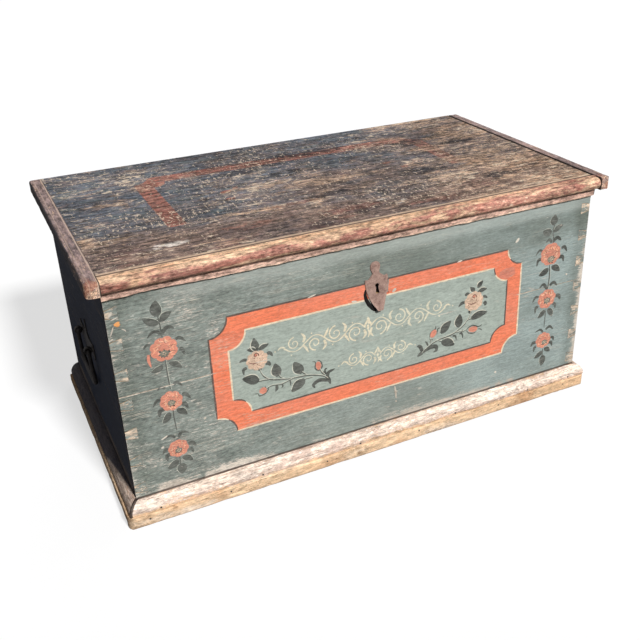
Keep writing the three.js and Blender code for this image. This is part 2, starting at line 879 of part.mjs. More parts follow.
function escutcheon() {
  const reach = escutcheonBendStandOff * 2 + overrun;
  const outline = prismY(escutcheonShape(), [-reach, overrun]);
  const keyhole = prismY(keyholeShape(0), [-reach, overrun]);
  keyhole.translate(0, 0, escutcheonKeyholeRise);
  const sheet = cut(common(escutcheonSheet(), outline), [keyhole]);
  const mesh = part('escutcheon', sheet.translate(0, 0, -escutcheonKeyholeRise), rustedIron);
  mesh.position.set(keyholeOffset, -halfDepth, keyholeHeight);
  mesh.rotation.y = THREE.MathUtils.degToRad(-escutcheonTilt);
  return mesh;
}

// Lock, about the middle of the keyhole's round on the inner face of the front

const lockTop = carcassHeight - lockTopDrop - keyholeHeight;
const boltTop = carcassHeight - boltTopDrop - keyholeHeight;
const boltLow = boltTop - boltBarHeight;
const boltMiddleY = lockDepth / 2;
const boltNear = boltMiddleY - boltThickness / 2;
const boltFar = boltMiddleY + boltThickness / 2;
const stapleX = boltNose + boltTravel / 2 - stapleIron / 2;

function lockCase() {
  const wall = lockIron;
  const outer = block(
    [-lockHalfWidth, lockHalfWidth],
    [seatGap, lockDepth],
    [-lockBelowKeyhole, lockTop],
  );
  const hollow = block(
    [-lockHalfWidth + wall, lockHalfWidth - wall],
    [seatGap - overrun, lockDepth - wall],
    [-lockBelowKeyhole + wall, lockTop - wall],
  );
  const mouthY = boltThickness / 2 + stapleEyeClearance + stapleRim + mouthClearance;
  const mouth = block(
    [stapleX - mouthClearance, stapleX + stapleIron + mouthClearance],
    [boltMiddleY - mouthY, Math.min(boltMiddleY + mouthY, lockDepth - wall - seatGap)],
    [lockTop - wall - overrun, lockTop + overrun],
  );
  const pinHole = barY(keyPinRadius + seatGap, [lockDepth - wall - overrun, lockDepth + overrun]);
  const shell = cut(outer, [hollow, mouth, pinHole]);
  return join(shell, boltGuide(-guideRear), boltGuide(-guideFront));
}

// A bridge on the cover with a window that the bolt slides through
function boltGuide(startX) {
  const bridge = block(
    [startX, startX + guideWidth],
    [boltNear - guideRim, lockDepth - lockIron / 2],
    [boltLow - guideRim, boltTop + guideRim],
  );
  const window = block(
    [startX - overrun, startX + guideWidth + overrun],
    [boltNear - boltClearance, boltFar + boltClearance],
    [boltLow - boltClearance, boltTop + boltClearance],
  );
  return cut(bridge, [window]);
}

// The bolt's bar, its arm and the talon bar that the key's bit pushes
function bolt() {
  const armLeft = -boltArmOffset;
  const armRight = armLeft + boltArmWidth;
  const talonTop = talonRise + boltBarHeight;
  const talonLeft = -boltTravel / 2 - talonWidth / 2;
  const shape = polygon([
    [-boltRearReach, boltLow],
    [armLeft, boltLow],
    [armLeft, talonRise],
    [talonLeft, talonRise],
    [talonLeft, talonRise + talonDepth],
    [talonLeft + talonWidth, talonRise + talonDepth],
    [talonLeft + talonWidth, talonRise],
    [talonBarReach, talonRise],
    [talonBarReach, talonTop],
    [armRight, talonTop],
    [armRight, boltLow],
    [boltNose, boltLow],
    [boltNose, boltTop],
    [-boltRearReach, boltTop],
  ]);
  return prismY(shape, [boltNear, boltFar]);
}

function keyPin() {
  const shank = barY(keyPinRadius, [keyPinSetback, lockDepth + overrun / 2]);
  const headEnd = lockDepth + seatGap + keyPinHeadThickness;
  const head = barY(keyPinHeadRadius, [lockDepth + seatGap, headEnd]);
  const bounds = block(
    [-keyPinHeadRadius, keyPinHeadRadius],
    [0, headEnd],
    [-keyPinHeadRadius, keyPinHeadRadius],
  );
  return common(join(shank, head), bounds);
}

function lock() {
  const group = new THREE.Group();
  group.add(part('lock_case', lockCase(), blackIron));
  group.add(part('lock_bolt', bolt(), rustedIron));
  group.add(part('lock_key_pin', keyPin(), blackIron));
  group.position.set(keyholeOffset, -innerHalfDepth, keyholeHeight);
  return group;
}

// The lid's staple: a plate under the lid and an eye that the bolt enters
function staple() {
  const underside = lidUnderside - keyholeHeight - seatGap;
  const eyeHalf = boltThickness / 2 + stapleEyeClearance;
  const outerHalf = eyeHalf + stapleRim;
  const eyeLow = boltLow - stapleEyeClearance;
  const eyeHigh = boltTop + stapleEyeClearance;
  const outline = new THREE.Shape();
  outline.moveTo(outerHalf, underside);
  outline.lineTo(-outerHalf, underside);
  outline.lineTo(-outerHalf, eyeLow);
  outline.quadraticCurveTo(-outerHalf, eyeLow - stapleRim, -eyeHalf, eyeLow - stapleRim);
  outline.lineTo(eyeHalf, eyeLow - stapleRim);
  outline.quadraticCurveTo(outerHalf, eyeLow - stapleRim, outerHalf, eyeLow);
  const drop = prismX(outline, [stapleX, stapleX + stapleIron]);
  const eye = block(
    [stapleX - overrun, stapleX + stapleIron + overrun],
    [-eyeHalf, eyeHalf],
    [eyeLow, eyeHigh],
  );
  const plateStart = stapleX + stapleIron / 2 - staplePlateLength / 2;
  const plate = block(
    [plateStart, plateStart + staplePlateLength],
    [-staplePlateWidth / 2, staplePlateWidth / 2],
    [underside - staplePlateThickness, underside],
  );
  const mesh = part('lid_staple', join(cut(drop, [eye]), plate), rustedIron);
  mesh.position.set(keyholeOffset, -innerHalfDepth + boltMiddleY, keyholeHeight);
  return mesh;
}

// Handles, drawn for the left end about the bail's axis: outward is -X

const eyePlaces = [-platePitch / 2, platePitch / 2];

function eyeShankHole(y) {
  return barX(eyeShankRadius + seatGap, [-halfWidth - overrun, -halfWidth + eyeShankDepth + seatGap])
    .translate(0, y - handleForward, handleHeight);
}

function mirroredHole(geometry) {
  return geometry.clone().rotateZ(Math.PI).translate(0, -2 * handleForward, 0);
}

// Half of the plate's outline, in shares of its arm reach and of the height above or below the axis
const plateTopShares = [
  [0.0, 1.0],
  [0.05, 0.72],
  [0.16, 0.5],
  [0.1, 0.4],
  [0.34, 0.26],
];
const plateArmShares = [
  [0.78, 1.0],
  [0.9, 1.35],
  [1.0, 0.7],
  [0.95, 0.0],
  [1.0, -0.7],
  [0.9, -1.35],
  [0.78, -1.0],
];
const plateFootShares = [
  [0.34, -0.5],
  [0.2, -0.8],
  [0.0, -1.0],
];

function handlePlate() {
  const reach = platePitch / 2 + plateArm;
  const half = [
    ...plateTopShares.map(([y, z]) => [y * reach, z * plateSpike]),
    ...plateArmShares.map(([y, z]) => [y * reach, z * plateHalfHeight]),
    ...plateFootShares.map(([y, z]) => [y * reach, z * (plateHalfHeight + plateFoot)]),
  ];
  const mirrored = half.slice(1, -1).map(([y, z]) => [-y, z]).reverse();
  const outer = eyeStandOff - seatGap;
  const plate = prismX(polygon([...half, ...mirrored]), [outer - handleIron, outer]);
  const holes = eyePlaces.map((y) => barX(eyeShankRadius + seatGap, [-overrun, eyeStandOff + overrun])
    .translate(0, y, 0));
  return cut(plate, holes);
}

function handleEye() {
  const half = eyeThickness / 2;
  const ring = barY(eyeHoleRadius + eyeRim, [-half, half]);
  const bore = barY(eyeHoleRadius, [-half - overrun, half + overrun]);
  const shank = barX(eyeShankRadius, [eyeHoleRadius + eyeRim / 2, eyeStandOff + eyeShankDepth]);
  return join(cut(ring, [bore]), shank);
}

// The bail's centre line from one end to the other, hanging down and leaning in to the wall
function bailPath() {
  const endY = platePitch / 2 - bailEnd;
  const limbY = platePitch / 2 + bailShoulder;
  const path = new THREE.CurvePath();
  const point = (y, z) => new THREE.Vector3(bailLean * (z / bailDrop) ** 2, y, z);
  const low = -bailDrop;
  const corners = [
    [[endY, 0], [limbY - bailShoulder, 0]],
    [[limbY - bailShoulder, 0], [limbY, 0], [limbY, -bailShoulder]],
    [[limbY, -bailShoulder], [limbY, low + bailCorner]],
    [[limbY, low + bailCorner], [limbY, low], [limbY - bailCorner, low]],
  ];
  const addCurve = (places) => {
    const points = places.map(([y, z]) => point(y, z));
    const Curve = places.length > 2 ? THREE.QuadraticBezierCurve3 : THREE.LineCurve3;
    path.add(new Curve(...points));
  };
  const otherSide = corners.map((places) => places.map(([y, z]) => [-y, z]).reverse()).reverse();
  corners.forEach(addCurve);
  addCurve([[limbY - bailCorner, low], [bailCorner - limbY, low]]);
  otherSide.forEach(addCurve);
  return path;
}

// Knobs at the ends, plain iron through the eyes, swelling to the grip in the middle
function bailRadiusAt(along, length) {
  const fromEnd = Math.min(along, length - along);
  if (fromEnd < bailKnobLength) {
    const rise = fromEnd / bailKnobLength;
    return Math.max(bailRadius, bailKnobRadius * Math.sqrt(1 - (2 * rise - 1) ** 2 * knobEndShare));
  }
  const grip = Math.max(1 - Math.abs(along - length / 2) / (length * gripShare), 0);
  return bailRadius + (bailGripRadius - bailRadius) * grip * grip * (3 - 2 * grip);
}

function bail() {
  const path = bailPath();
  const length = path.getLength();
  const rings = Math.round(length / bailStep);
  const positions = [];
  const triangles = [];
  const centres = [];
  for (let ring = 0; ring <= rings; ring += 1) {
    const share = ring / rings;
    const centre = path.getPointAt(share);
    const tangent = path.getTangentAt(share);
    const across = new THREE.Vector3().crossVectors(tangent, new THREE.Vector3(1, 0, 0)).normalize();
    const outwards = new THREE.Vector3().crossVectors(across, tangent).normalize();
    centres.push(centre);
    const radius = bailRadiusAt(share * length, length);
    for (let side = 0; side < bailSides; side += 1) {
      const angle = (2 * Math.PI * side) / bailSides;
      const spoke = across.clone().multiplyScalar(Math.cos(angle) * radius)
        .addScaledVector(outwards, Math.sin(angle) * radius);
      positions.push(...centre.clone().add(spoke).toArray());
    }
  }
  for (let ring = 0; ring < rings; ring += 1) {
    for (let side = 0; side < bailSides; side += 1) {
      const a = ring * bailSides + side;
      const b = ring * bailSides + ((side + 1) % bailSides);
      triangles.push(a, a + bailSides, b, b, a + bailSides, b + bailSides);
    }
  }
  const firstCap = positions.length / 3;
  positions.push(...centres[0].toArray(), ...centres[rings].toArray());
  for (let side = 0; side < bailSides; side += 1) {
    const next = (side + 1) % bailSides;
    const last = rings * bailSides;
    triangles.push(firstCap, side, next);
    triangles.push(firstCap + 1, last + next, last + side);
  }
  const geometry = new THREE.BufferGeometry();
  geometry.setAttribute('position', new THREE.Float32BufferAttribute(positions, 3));
  geometry.setIndex(triangles);
  return geometryOf(solidOf(geometry));
}

function handle(side) {
  const group = new THREE.Group();
  const outward = side === 'left' ? -1 : 1;
  group.add(part(`${side}_handle_plate`, handlePlate(), blackIron));
  const names = side === 'left' ? ['front', 'back'] : ['back', 'front'];
  eyePlaces.forEach((y, place) => {
    const eye = part(`${side}_handle_${names[place]}_eye`, handleEye(), blackIron);
    eye.position.y = y;
    group.add(eye);
  });
  group.add(part(`${side}_handle_bail`, bail(), blackIron));
  group.position.set(outward * (halfWidth + eyeStandOff), -handleForward, handleHeight);
  group.rotation.z = side === 'left' ? 0 : Math.PI;
  return group;
}

// The whole chest, moved so that the origin is under its middle

const frontReach = halfDepth + Math.max(nosingDepth, baseReach);
const backReach = hingeY + knuckleRadius;

const group = new THREE.Group();
group.add(carcass());
group.add(bottomBoards());
group.add(till());
group.add(plinth());
group.add(lid());
group.add(hinge('left', -hingeOffset));
group.add(hinge('right', hingeOffset));
group.add(escutcheon());
group.add(lock());
group.add(staple());
group.add(handle('left'));
group.add(handle('right'));
group.position.y = (frontReach - backReach) / 2;

export default group;
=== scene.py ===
import math

import bmesh
import bpy
from bpy.props import FloatProperty, FloatVectorProperty, IntProperty, PointerProperty
from mathutils import Euler, Matrix, Vector, noise


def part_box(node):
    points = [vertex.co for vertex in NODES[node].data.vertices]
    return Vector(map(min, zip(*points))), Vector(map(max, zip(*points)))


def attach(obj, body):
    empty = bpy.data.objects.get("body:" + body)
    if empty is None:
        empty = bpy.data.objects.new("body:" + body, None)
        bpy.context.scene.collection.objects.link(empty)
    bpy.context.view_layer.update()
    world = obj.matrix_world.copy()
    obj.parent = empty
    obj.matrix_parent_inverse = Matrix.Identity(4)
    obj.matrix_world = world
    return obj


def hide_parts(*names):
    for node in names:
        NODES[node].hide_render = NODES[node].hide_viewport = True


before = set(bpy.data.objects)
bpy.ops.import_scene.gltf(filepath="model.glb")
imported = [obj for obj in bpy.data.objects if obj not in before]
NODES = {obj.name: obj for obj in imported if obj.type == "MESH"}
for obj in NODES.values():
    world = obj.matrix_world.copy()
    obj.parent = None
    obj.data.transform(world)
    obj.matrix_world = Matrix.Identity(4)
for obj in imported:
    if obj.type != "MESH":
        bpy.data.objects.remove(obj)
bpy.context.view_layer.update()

bl_info = {
    "name": "Painted blanket chest",
    "version": (1, 0, 0),
    "blender": (4, 5, 0),
    "location": "3D View > Sidebar > Chest",
    "description": "Paints, weathers and lights a country blanket chest",
    "category": "Object",
}

MM = 0.001
FRONT_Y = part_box("front_upper_board")[0].y
LID_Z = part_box("lid_back_board")[1].z
BACK_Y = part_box("back_upper_board")[1].y
LEFT_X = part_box("left_side_upper_board")[0].x
RIGHT_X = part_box("right_side_upper_board")[1].x
MIDDLE_Y = (FRONT_Y + BACK_Y) / 2


def srgb(red, green, blue):
    """A colour in steps of 0 to 255, turned into linear light."""
    shares = [step / 255 for step in (red, green, blue)]
    linear = [s / 12.92 if s <= 0.04045 else ((s + 0.055) / 1.055) ** 2.4 for s in shares]
    return (*linear, 1.0)


def colour(label, note, red, green, blue):
    return FloatVectorProperty(
        name=label, description=note, subtype="COLOR", size=4, min=0.0, max=1.0,
        default=srgb(red, green, blue),
    )


def length(label, note, millimetres):
    return FloatProperty(
        name=label, description=note, default=millimetres * MM, min=0.0, unit="LENGTH", precision=4,
    )


def strength(label, note, value):
    return FloatProperty(name=label, description=note, default=value, min=0.0)


def share(label, note, value):
    return FloatProperty(name=label, description=note, default=value, min=0.0, max=1.0, subtype="FACTOR")


# Settings


class ChestPaintColours(bpy.types.PropertyGroup):
    front: colour("Front field", "Grey-green oil paint of the front", 148, 156, 149)
    front_blue: colour("Front field, right", "The front where it has stayed bluer", 152, 164, 160)
    front_shade: colour(
        "Front field, grimy", "The same paint where hands and smoke darkened it", 108, 115, 107,
    )
    # The ends' two blues are set far darker than the front's paint: partly their own colour, partly painted
    # shade.
    side: colour("Side field", "Dark blue-green paint of the two ends", 45, 54, 73)
    side_shade: colour("Side field, grimy", "The same paint where it is darkest", 30, 35, 49)
    band: colour("Cartouche band", "Orange-red frame on the front", 238, 129, 92)
    band_shade: colour("Cartouche band, faded", "The frame where it has faded or dulled", 205, 128, 107)
    panel: colour("Cartouche panel", "Pale green panel inside the frame", 168, 177, 167)
    panel_shade: colour("Cartouche panel, grimy", "The panel where it is dirty", 140, 149, 139)
    cream: colour("Cream line", "Lit edges and flourish", 230, 216, 186)
    dark: colour("Dark line", "Shadow edges of the frame", 104, 84, 76)
    leaf: colour("Leaf", "Dark green-black leaves", 86, 88, 83)
    leaf_light: colour("Leaf light", "Pale strokes beside the leaves", 224, 218, 198)
    rose: colour("Rose", "Orange-red roses", 209, 141, 119)
    rose_high: colour("Rose, lit petals", "Lighter orange strokes on the petals", 240, 180, 142)
    rose_pale: colour("Rose, pale strokes", "Cream strokes on the roses", 236, 202, 176)
    rose_cream: colour("Cream rose", "Roses of the two sprays", 214, 184, 158)
    rose_heart: colour("Rose, heart", "Grey-green heart of the orange roses", 150, 146, 128)
    rose_deep: colour("Rose, deep strokes", "Darker strokes on the roses", 132, 90, 78)
    lid: colour("Lid paint", "Blue-grey paint of the lid", 97, 104, 114)
    lid_shade: colour("Lid paint, grimy", "The lid paint where it is darkest", 63, 68, 77)
    lid_band: colour("Lid frame", "Dull red frame on the lid", 160, 102, 88)


class ChestWoodColours(bpy.types.PropertyGroup):
    bare_light: colour("Bare wood, light", "Fresh pine where paint has flaked", 232, 206, 178)
    bare_dark: colour("Bare wood, dark", "Grain lines in the flaked spots", 190, 154, 124)
    flaked_light: colour("Flaked front, light", "Chalky ground where the front has flaked", 218, 208, 194)
    flaked_dark: colour("Flaked front, dark", "The same ground where it is dirty", 172, 160, 146)
    lid_light: colour("Lid wood, light", "Rubbed tan wood of the lid", 212, 178, 150)
    lid_dark: colour("Lid wood, dark", "Brown, greasy wood of the lid", 98, 77, 69)
    plinth_light: colour("Plinth, light", "Chalky paint left on the plinth", 244, 228, 212)
    plinth_dark: colour("Plinth, stained", "Purple-brown stain on the plinth", 178, 148, 134)
    base_light: colour("Base strip, light", "Yellow pine of the base strip", 244, 216, 182)
    base_dark: colour("Base strip, dark", "Grain and knocks of the base strip", 196, 150, 106)
    nosing_light: colour("Nosing, light", "Rubbed edge of the lid's moulding", 246, 208, 174)
    nosing_red: colour("Nosing, red", "Old red paint left on the moulding", 172, 112, 94)
    pine_light: colour("Inside pine, light", "Clean pine of the inside", 206, 174, 132)
    pine_dark: colour("Inside pine, dark", "Grain lines of the inside", 158, 118, 78)
    back_light: colour("Back pine, light", "Weathered pine of the back", 172, 146, 116)
    back_dark: colour("Back pine, dark", "Grain and grime of the back", 112, 86, 62)


class ChestIronColours(bpy.types.PropertyGroup):
    rust_light: colour("Rust, light", "Dry rust of the key plate", 190, 160, 146)
    rust_dark: colour("Rust, dark", "Dark rust of the key plate", 116, 88, 78)
    black_light: colour("Forged iron, light", "Worn spots of the hand-forged iron", 96, 90, 86)
    black_dark: colour("Forged iron, dark", "Blackened iron of handles and hinges", 34, 31, 31)


class ChestWear(bpy.types.PropertyGroup):
    front: share("Front", "How much paint the front has lost", 0.20)
    side: share("Ends", "How much paint the ends have lost", 0.30)
    panel: share("Panel", "How much paint the panel has lost", 0.10)
    flowers: share("Flowers", "How much paint the flowers have lost", 0.18)
    lid: share("Lid", "How much paint the lid has lost", 0.36)
    lid_flowers: share("Lid flowers", "How much paint the lid's ornament has lost", 0.36)
    knocks: length("Knock depth", "Deepest dents in the mouldings", 2.2)


class ChestOrnament(bpy.types.PropertyGroup):
    half_width: length("Frame half width", "From the middle to the frame's outer edge", 395)
    low: length("Frame foot", "Height of the frame's lower edge", 159)
    high: length("Frame head", "Height of the frame's upper edge", 442)
    band: length("Frame width", "Width of the orange-red band", 40)
    notch: length("Corner notch", "Radius of the hollow corners", 43)
    line: length("Line width", "Width of the cream and dark lines", 4)
    paint_sink: length("Paint root", "How deep a coat of paint is bedded in the wood", 0.1)
    paint_step: length("Paint step", "Thickness of one coat", 0.07)
    wobble: length("Brush wobble", "How far a brushed edge wanders", 0.7)
    petals: IntProperty(
        name="Petals", description="Brush strokes round each rose", default=11, min=5, max=24,
    )
    seed: IntProperty(name="Seed", description="Seed of the hand-painted variation", default=7, min=0)


class ChestNails(bpy.types.PropertyGroup):
    plinth_head: length("Plinth nail", "Head radius of the plinth's nails", 2.6)
    iron_head: length("Iron nail", "Head radius of the nails through the ironwork", 4.2)
    dome: share("Dome", "Height of a nail head as a share of its radius", 0.36)


class ChestStage(bpy.types.PropertyGroup):
    key: strength("Key light", "Strength of the sun at the front", 4.15)
    behind: strength("Back light", "Strength of the weak lamp behind the chest", 1.5)
    sheen: strength("Sheen", "Strength of the surroundings as the finishes mirror them", 0.35)
    fill: strength("Room light", "Strength of the light from all round", 0.085)
    floor_half: length("Floor half size", "From the middle to the floor's edge", 14000)
    floor: colour("Floor", "Plain pale floor", 112, 112, 115)


SETTINGS = {
    "chest_paint": ChestPaintColours,
    "chest_wood": ChestWoodColours,
    "chest_iron": ChestIronColours,
    "chest_wear": ChestWear,
    "chest_ornament": ChestOrnament,
    "chest_nails": ChestNails,
    "chest_stage": ChestStage,
}


# Node trees


def reckoned(operation, turned=False):
    """A method that puts two values through a Math node."""
    def method(self, other=0.0):
        first, second = (other, self) if turned else (self, other)
        return self.bench.math(operation, first, second)
    return method


class Signal:
    """A node's output; reckoning with it adds nodes to its tree, and | takes the brighter of two masks."""

    __add__ = reckoned("ADD")
    __sub__ = reckoned("SUBTRACT")
    __rsub__ = reckoned("SUBTRACT", turned=True)
    __mul__ = reckoned("MULTIPLY")
    __truediv__ = reckoned("DIVIDE")
    __rtruediv__ = reckoned("DIVIDE", turned=True)
    __pow__ = reckoned("POWER")
    __or__ = reckoned("MAXIMUM")
    __abs__ = reckoned("ABSOLUTE")

    def __init__(self, bench, socket):
        self.bench, self.socket = bench, socket

    def clamped(self):
        self.socket.node.use_clamp = True
        return self

    def ramp(self, low, high, to_low=0.0, to_high=1.0):
        inputs = {"Value": self, "From Min": low, "From Max": high, "To Min": to_low, "To Max": to_high}
        return self.bench.out("ShaderNodeMapRange", inputs, interpolation_type="SMOOTHSTEP")

    def axes(self):
        return list(self.bench.outs("ShaderNodeSeparateXYZ", {0: self}).values())

    def scaled(self, x, y, z):
        return self.bench.out("ShaderNodeVectorMath", {0: self, 1: (x, y, z)}, operation="MULTIPLY")

    def times(self, gain):
        """All three channels times one value."""
        return self.bench.out("ShaderNodeVectorMath", {0: self, 3: gain}, operation="SCALE")

    def shifted(self, amount):
        offset = self.bench.out("ShaderNodeVectorMath", {0: (1.7, 2.9, 4.3), 3: amount}, operation="SCALE")
        return self.bench.out("ShaderNodeVectorMath", {0: self, 1: offset}, operation="ADD")

    def turned(self, x=0.0, y=0.0, z=0.0, scale=(1.0, 1.0, 1.0)):
        return self.bench.out("ShaderNodeMapping", {"Vector": self, "Rotation": (x, y, z), "Scale": scale})

    def noise(self, scale=1.0, detail=4.0, roughness=0.55, distortion=0.0):
        inputs = {
            "Vector": self, "Scale": scale, "Detail": detail, "Roughness": roughness,
            "Distortion": distortion,
        }
        return self.bench.out("ShaderNodeTexNoise", inputs)

    def grained(self, along, across, detail=4.0, roughness=0.55, distortion=0.0):
        """Noise drawn out along X, which is the way the grain runs."""
        return self.scaled(along, across, across).noise(1.0, detail, roughness, distortion)


class Bench:
    """Places nodes in one tree and joins them up."""

    def __init__(self, tree):
        self.tree, self.placed = tree, 0

    def node(self, kind, inputs=(), **settings):
        node = self.tree.nodes.new(kind)
        node.location = (self.placed % 14 * 190, -(self.placed // 14) * 280)
        self.placed += 1
        for name, value in settings.items():
            setattr(node, name, value)
        for key, value in dict(inputs).items():
            self.feed(node.inputs[key], value)
        return node

    def feed(self, socket, value):
        if isinstance(value, Signal):
            self.tree.links.new(value.socket, socket)
        else:
            socket.default_value = value

    def outs(self, kind, inputs=(), **settings):
        """A new node's outputs by name."""
        return {socket.name: Signal(self, socket) for socket in self.node(kind, inputs, **settings).outputs}

    def out(self, kind, inputs=(), which=0, **settings):
        """One output of a new node."""
        return Signal(self, self.node(kind, inputs, **settings).outputs[which])

    def math(self, operation, first, second=0.0):
        return self.out("ShaderNodeMath", {0: first, 1: second}, operation=operation)

    def group(self, name, inputs):
        """The outputs of a shared effect."""
        return self.outs("ShaderNodeGroup", inputs, node_tree=shared(name))


def mix(factor, first, second, blend="MIX"):
    """Two colours or vectors, mixed."""
    inputs = {0: factor, 6: first, 7: second}
    return factor.bench.out("ShaderNodeMix", inputs, 2, data_type="RGBA", blend_type=blend)


def between(factor, first, second):
    """Two values, mixed."""
    return factor.bench.out("ShaderNodeMix", {0: factor, 2: first, 3: second}, data_type="FLOAT")


def socket_kind(default):
    """A vector has no default, a colour is a tuple and anything else is a plain value."""
    if default is None:
        return "NodeSocketVector"
    return "NodeSocketColor" if isinstance(default, tuple) else "NodeSocketFloat"


OUTPUT_KINDS = {"Color": "NodeSocketColor", "Normal": "NodeSocketVector"}


def new_group(name, inputs, *outputs):
    """An empty shader node group with named sockets: its tree, bench, inputs and outputs."""
    tree = bpy.data.node_groups.new(name, "ShaderNodeTree")
    for label, default in inputs.items():
        socket = tree.interface.new_socket(label, in_out="INPUT", socket_type=socket_kind(default))
        if default is not None:
            socket.default_value = default
    for label in outputs:
        kind = OUTPUT_KINDS.get(label, "NodeSocketFloat")
        tree.interface.new_socket(label, in_out="OUTPUT", socket_type=kind)
    bench = Bench(tree)
    return tree, bench, bench.outs("NodeGroupInput"), bench.node("NodeGroupOutput").inputs


WHITE = (1.0, 1.0, 1.0, 1.0)
GREY = (0.5, 0.5, 0.5, 1.0)


def wood_grain_group():
    """Pine sawn along the grain: growth lines, fibres and slow changes of tone."""
    tree, bench, given, result = new_group(
        "Wood grain",
        {
            "Vector": None, "Light": WHITE, "Dark": GREY, "Line density": 12.0, "Contrast": 1.0,
            "Seed": 0.0,
        },
        "Color", "Height",
    )
    place = given["Vector"].shifted(given["Seed"])
    figure = place.grained(0.7, 7.0, 2.0, 0.5, 0.6)
    lines = bench.math("PINGPONG", figure * given["Line density"], 1.0) ** 1.6
    fibres = place.grained(12.0, 620.0, 3.0, 0.65)
    slow = place.noise(3.1, 3.0)
    tone = lines * 0.42 + fibres * 0.55 + slow * 0.45 - 0.70
    tone = (tone * given["Contrast"] + 0.5).clamped()
    bench.feed(result["Color"], mix(tone, given["Light"], given["Dark"]))
    height = lines * -0.5 + fibres * -0.5
    bench.feed(result["Height"], height)
    return tree


def paint_wear_group():
    """Where paint has gone: rubbed patches, streaks along the grain and small flecks."""
    tree, bench, given, result = new_group(
        "Paint wear", {"Vector": None, "Amount": 0.2, "Patch size": 0.12, "Extra": 0.0, "Seed": 0.0},
        "Bare", "Thin",
    )
    place = given["Vector"].shifted(given["Seed"])
    patch_scale = 1.0 / given["Patch size"]
    patches = place.scaled(0.55, 1.0, 1.0).noise(patch_scale, 5.0, 0.6)
    streaks = place.grained(24.0, 360.0, 5.0, 0.72, 0.2)
    flecks = place.grained(150.0, 620.0, 3.0, 0.6)
    level = patches * 0.34 + streaks * 0.44 + flecks * 0.34 + given["Extra"] * 0.34
    limit = 0.79 - given["Amount"] * 0.40
    above = level - limit
    bench.feed(result["Bare"], above.ramp(-0.006, 0.014))
    bench.feed(result["Thin"], above.ramp(-0.11, 0.0))
    return tree


def scratch_group():
    """Fine scratches in a few directions, broken off here and there."""
    tree, bench, given, result = new_group(
        "Scratches", {"Vector": None, "Amount": 0.3, "Seed": 0.0}, "Mask",
    )
    place = given["Vector"].shifted(given["Seed"])
    total = None
    for turn, width in ((0.16, 0.010), (-0.5, 0.008), (1.2, 0.007)):
        field = place.turned(z=turn, scale=(2.6, 46.0, 46.0)).turned(y=turn).noise(1.0, 1.0, 0.4)
        line = abs(field - 0.5).ramp(width, 0.0)
        gate = place.noise(7.0 + turn * 3, 2.0).ramp(0.56, 0.62)
        total = line * gate if total is None else total | line * gate
    bench.feed(result["Mask"], (total * given["Amount"]).clamped())
    return tree


def edge_wear_group():
    """A mask that is bright along outer edges."""
    tree, bench, given, result = new_group("Edge wear", {"Width": 0.003}, "Mask", "Normal")
    rounded = bench.out("ShaderNodeBevel", {"Radius": given["Width"]}, samples=4)
    flat = bench.out("ShaderNodeNewGeometry", which="Normal")
    dot = bench.out("ShaderNodeVectorMath", {0: rounded, 1: flat}, "Value", operation="DOT_PRODUCT")
    bench.feed(result["Mask"], dot.ramp(0.995, 0.90))
    bench.feed(result["Normal"], rounded)
    return tree


def old_paint_group():
    """Old paint on pine: brush streaks and grime in the coat, worn through to grey ground and to wood."""
    tree, bench, given, result = new_group(
        "Old paint",
        {
            "Vector": None, "Paint": GREY, "Paint shade": GREY, "Ground": GREY, "Wood light": WHITE,
            "Wood dark": GREY, "Wear": 0.2, "Patch size": 0.12, "Extra bare": 0.0, "Extra grime": 0.0,
            "Streaks": 0.5, "Ground share": 0.4, "Scratches": 0.3, "Seed": 0.0,
        },
        "Color", "Roughness", "Height",
    )
    place = given["Vector"]
    wood = bench.group("grain", {"Vector": place, "Light": given["Wood light"], "Dark": given["Wood dark"]})
    worn = bench.group("wear", {"Vector": place, "Amount": given["Wear"], "Patch size": given["Patch size"],
                              "Extra": given["Extra bare"], "Seed": given["Seed"]})
    cloud = place.scaled(0.6, 1.0, 1.0).noise(9.0, 4.0, 0.6)
    tone = (cloud - 0.5) * 1.6 + given["Extra grime"]
    tone = (tone + 0.32).clamped()
    coat = mix(tone, given["Paint"], given["Paint shade"])
    brush = place.grained(26.0, 700.0, 4.0, 0.7) - 0.5
    fine = place.grained(160.0, 900.0, 3.0, 0.6) - 0.5
    streak = (brush + fine * 0.8) * given["Streaks"]
    gain = streak * 1.7 + 1.0
    coat = coat.times(gain)
    thin = worn["Thin"] * given["Ground share"]
    coat = mix(thin, coat, given["Ground"])
    scuffs = bench.group(
        "scratches", {"Vector": place, "Amount": given["Scratches"], "Seed": given["Seed"]},
    )["Mask"]
    bare = (worn["Bare"] | scuffs).clamped()
    bench.feed(result["Color"], mix(bare, coat, wood["Color"]))
    rough = brush * 0.35 + 0.60
    bench.feed(result["Roughness"], (rough + bare * 0.15).clamped())
    relief = brush * 0.55 + fine * 0.35 - bare * 0.55
    bench.feed(result["Height"], relief + wood["Height"] * 0.5)
    return tree


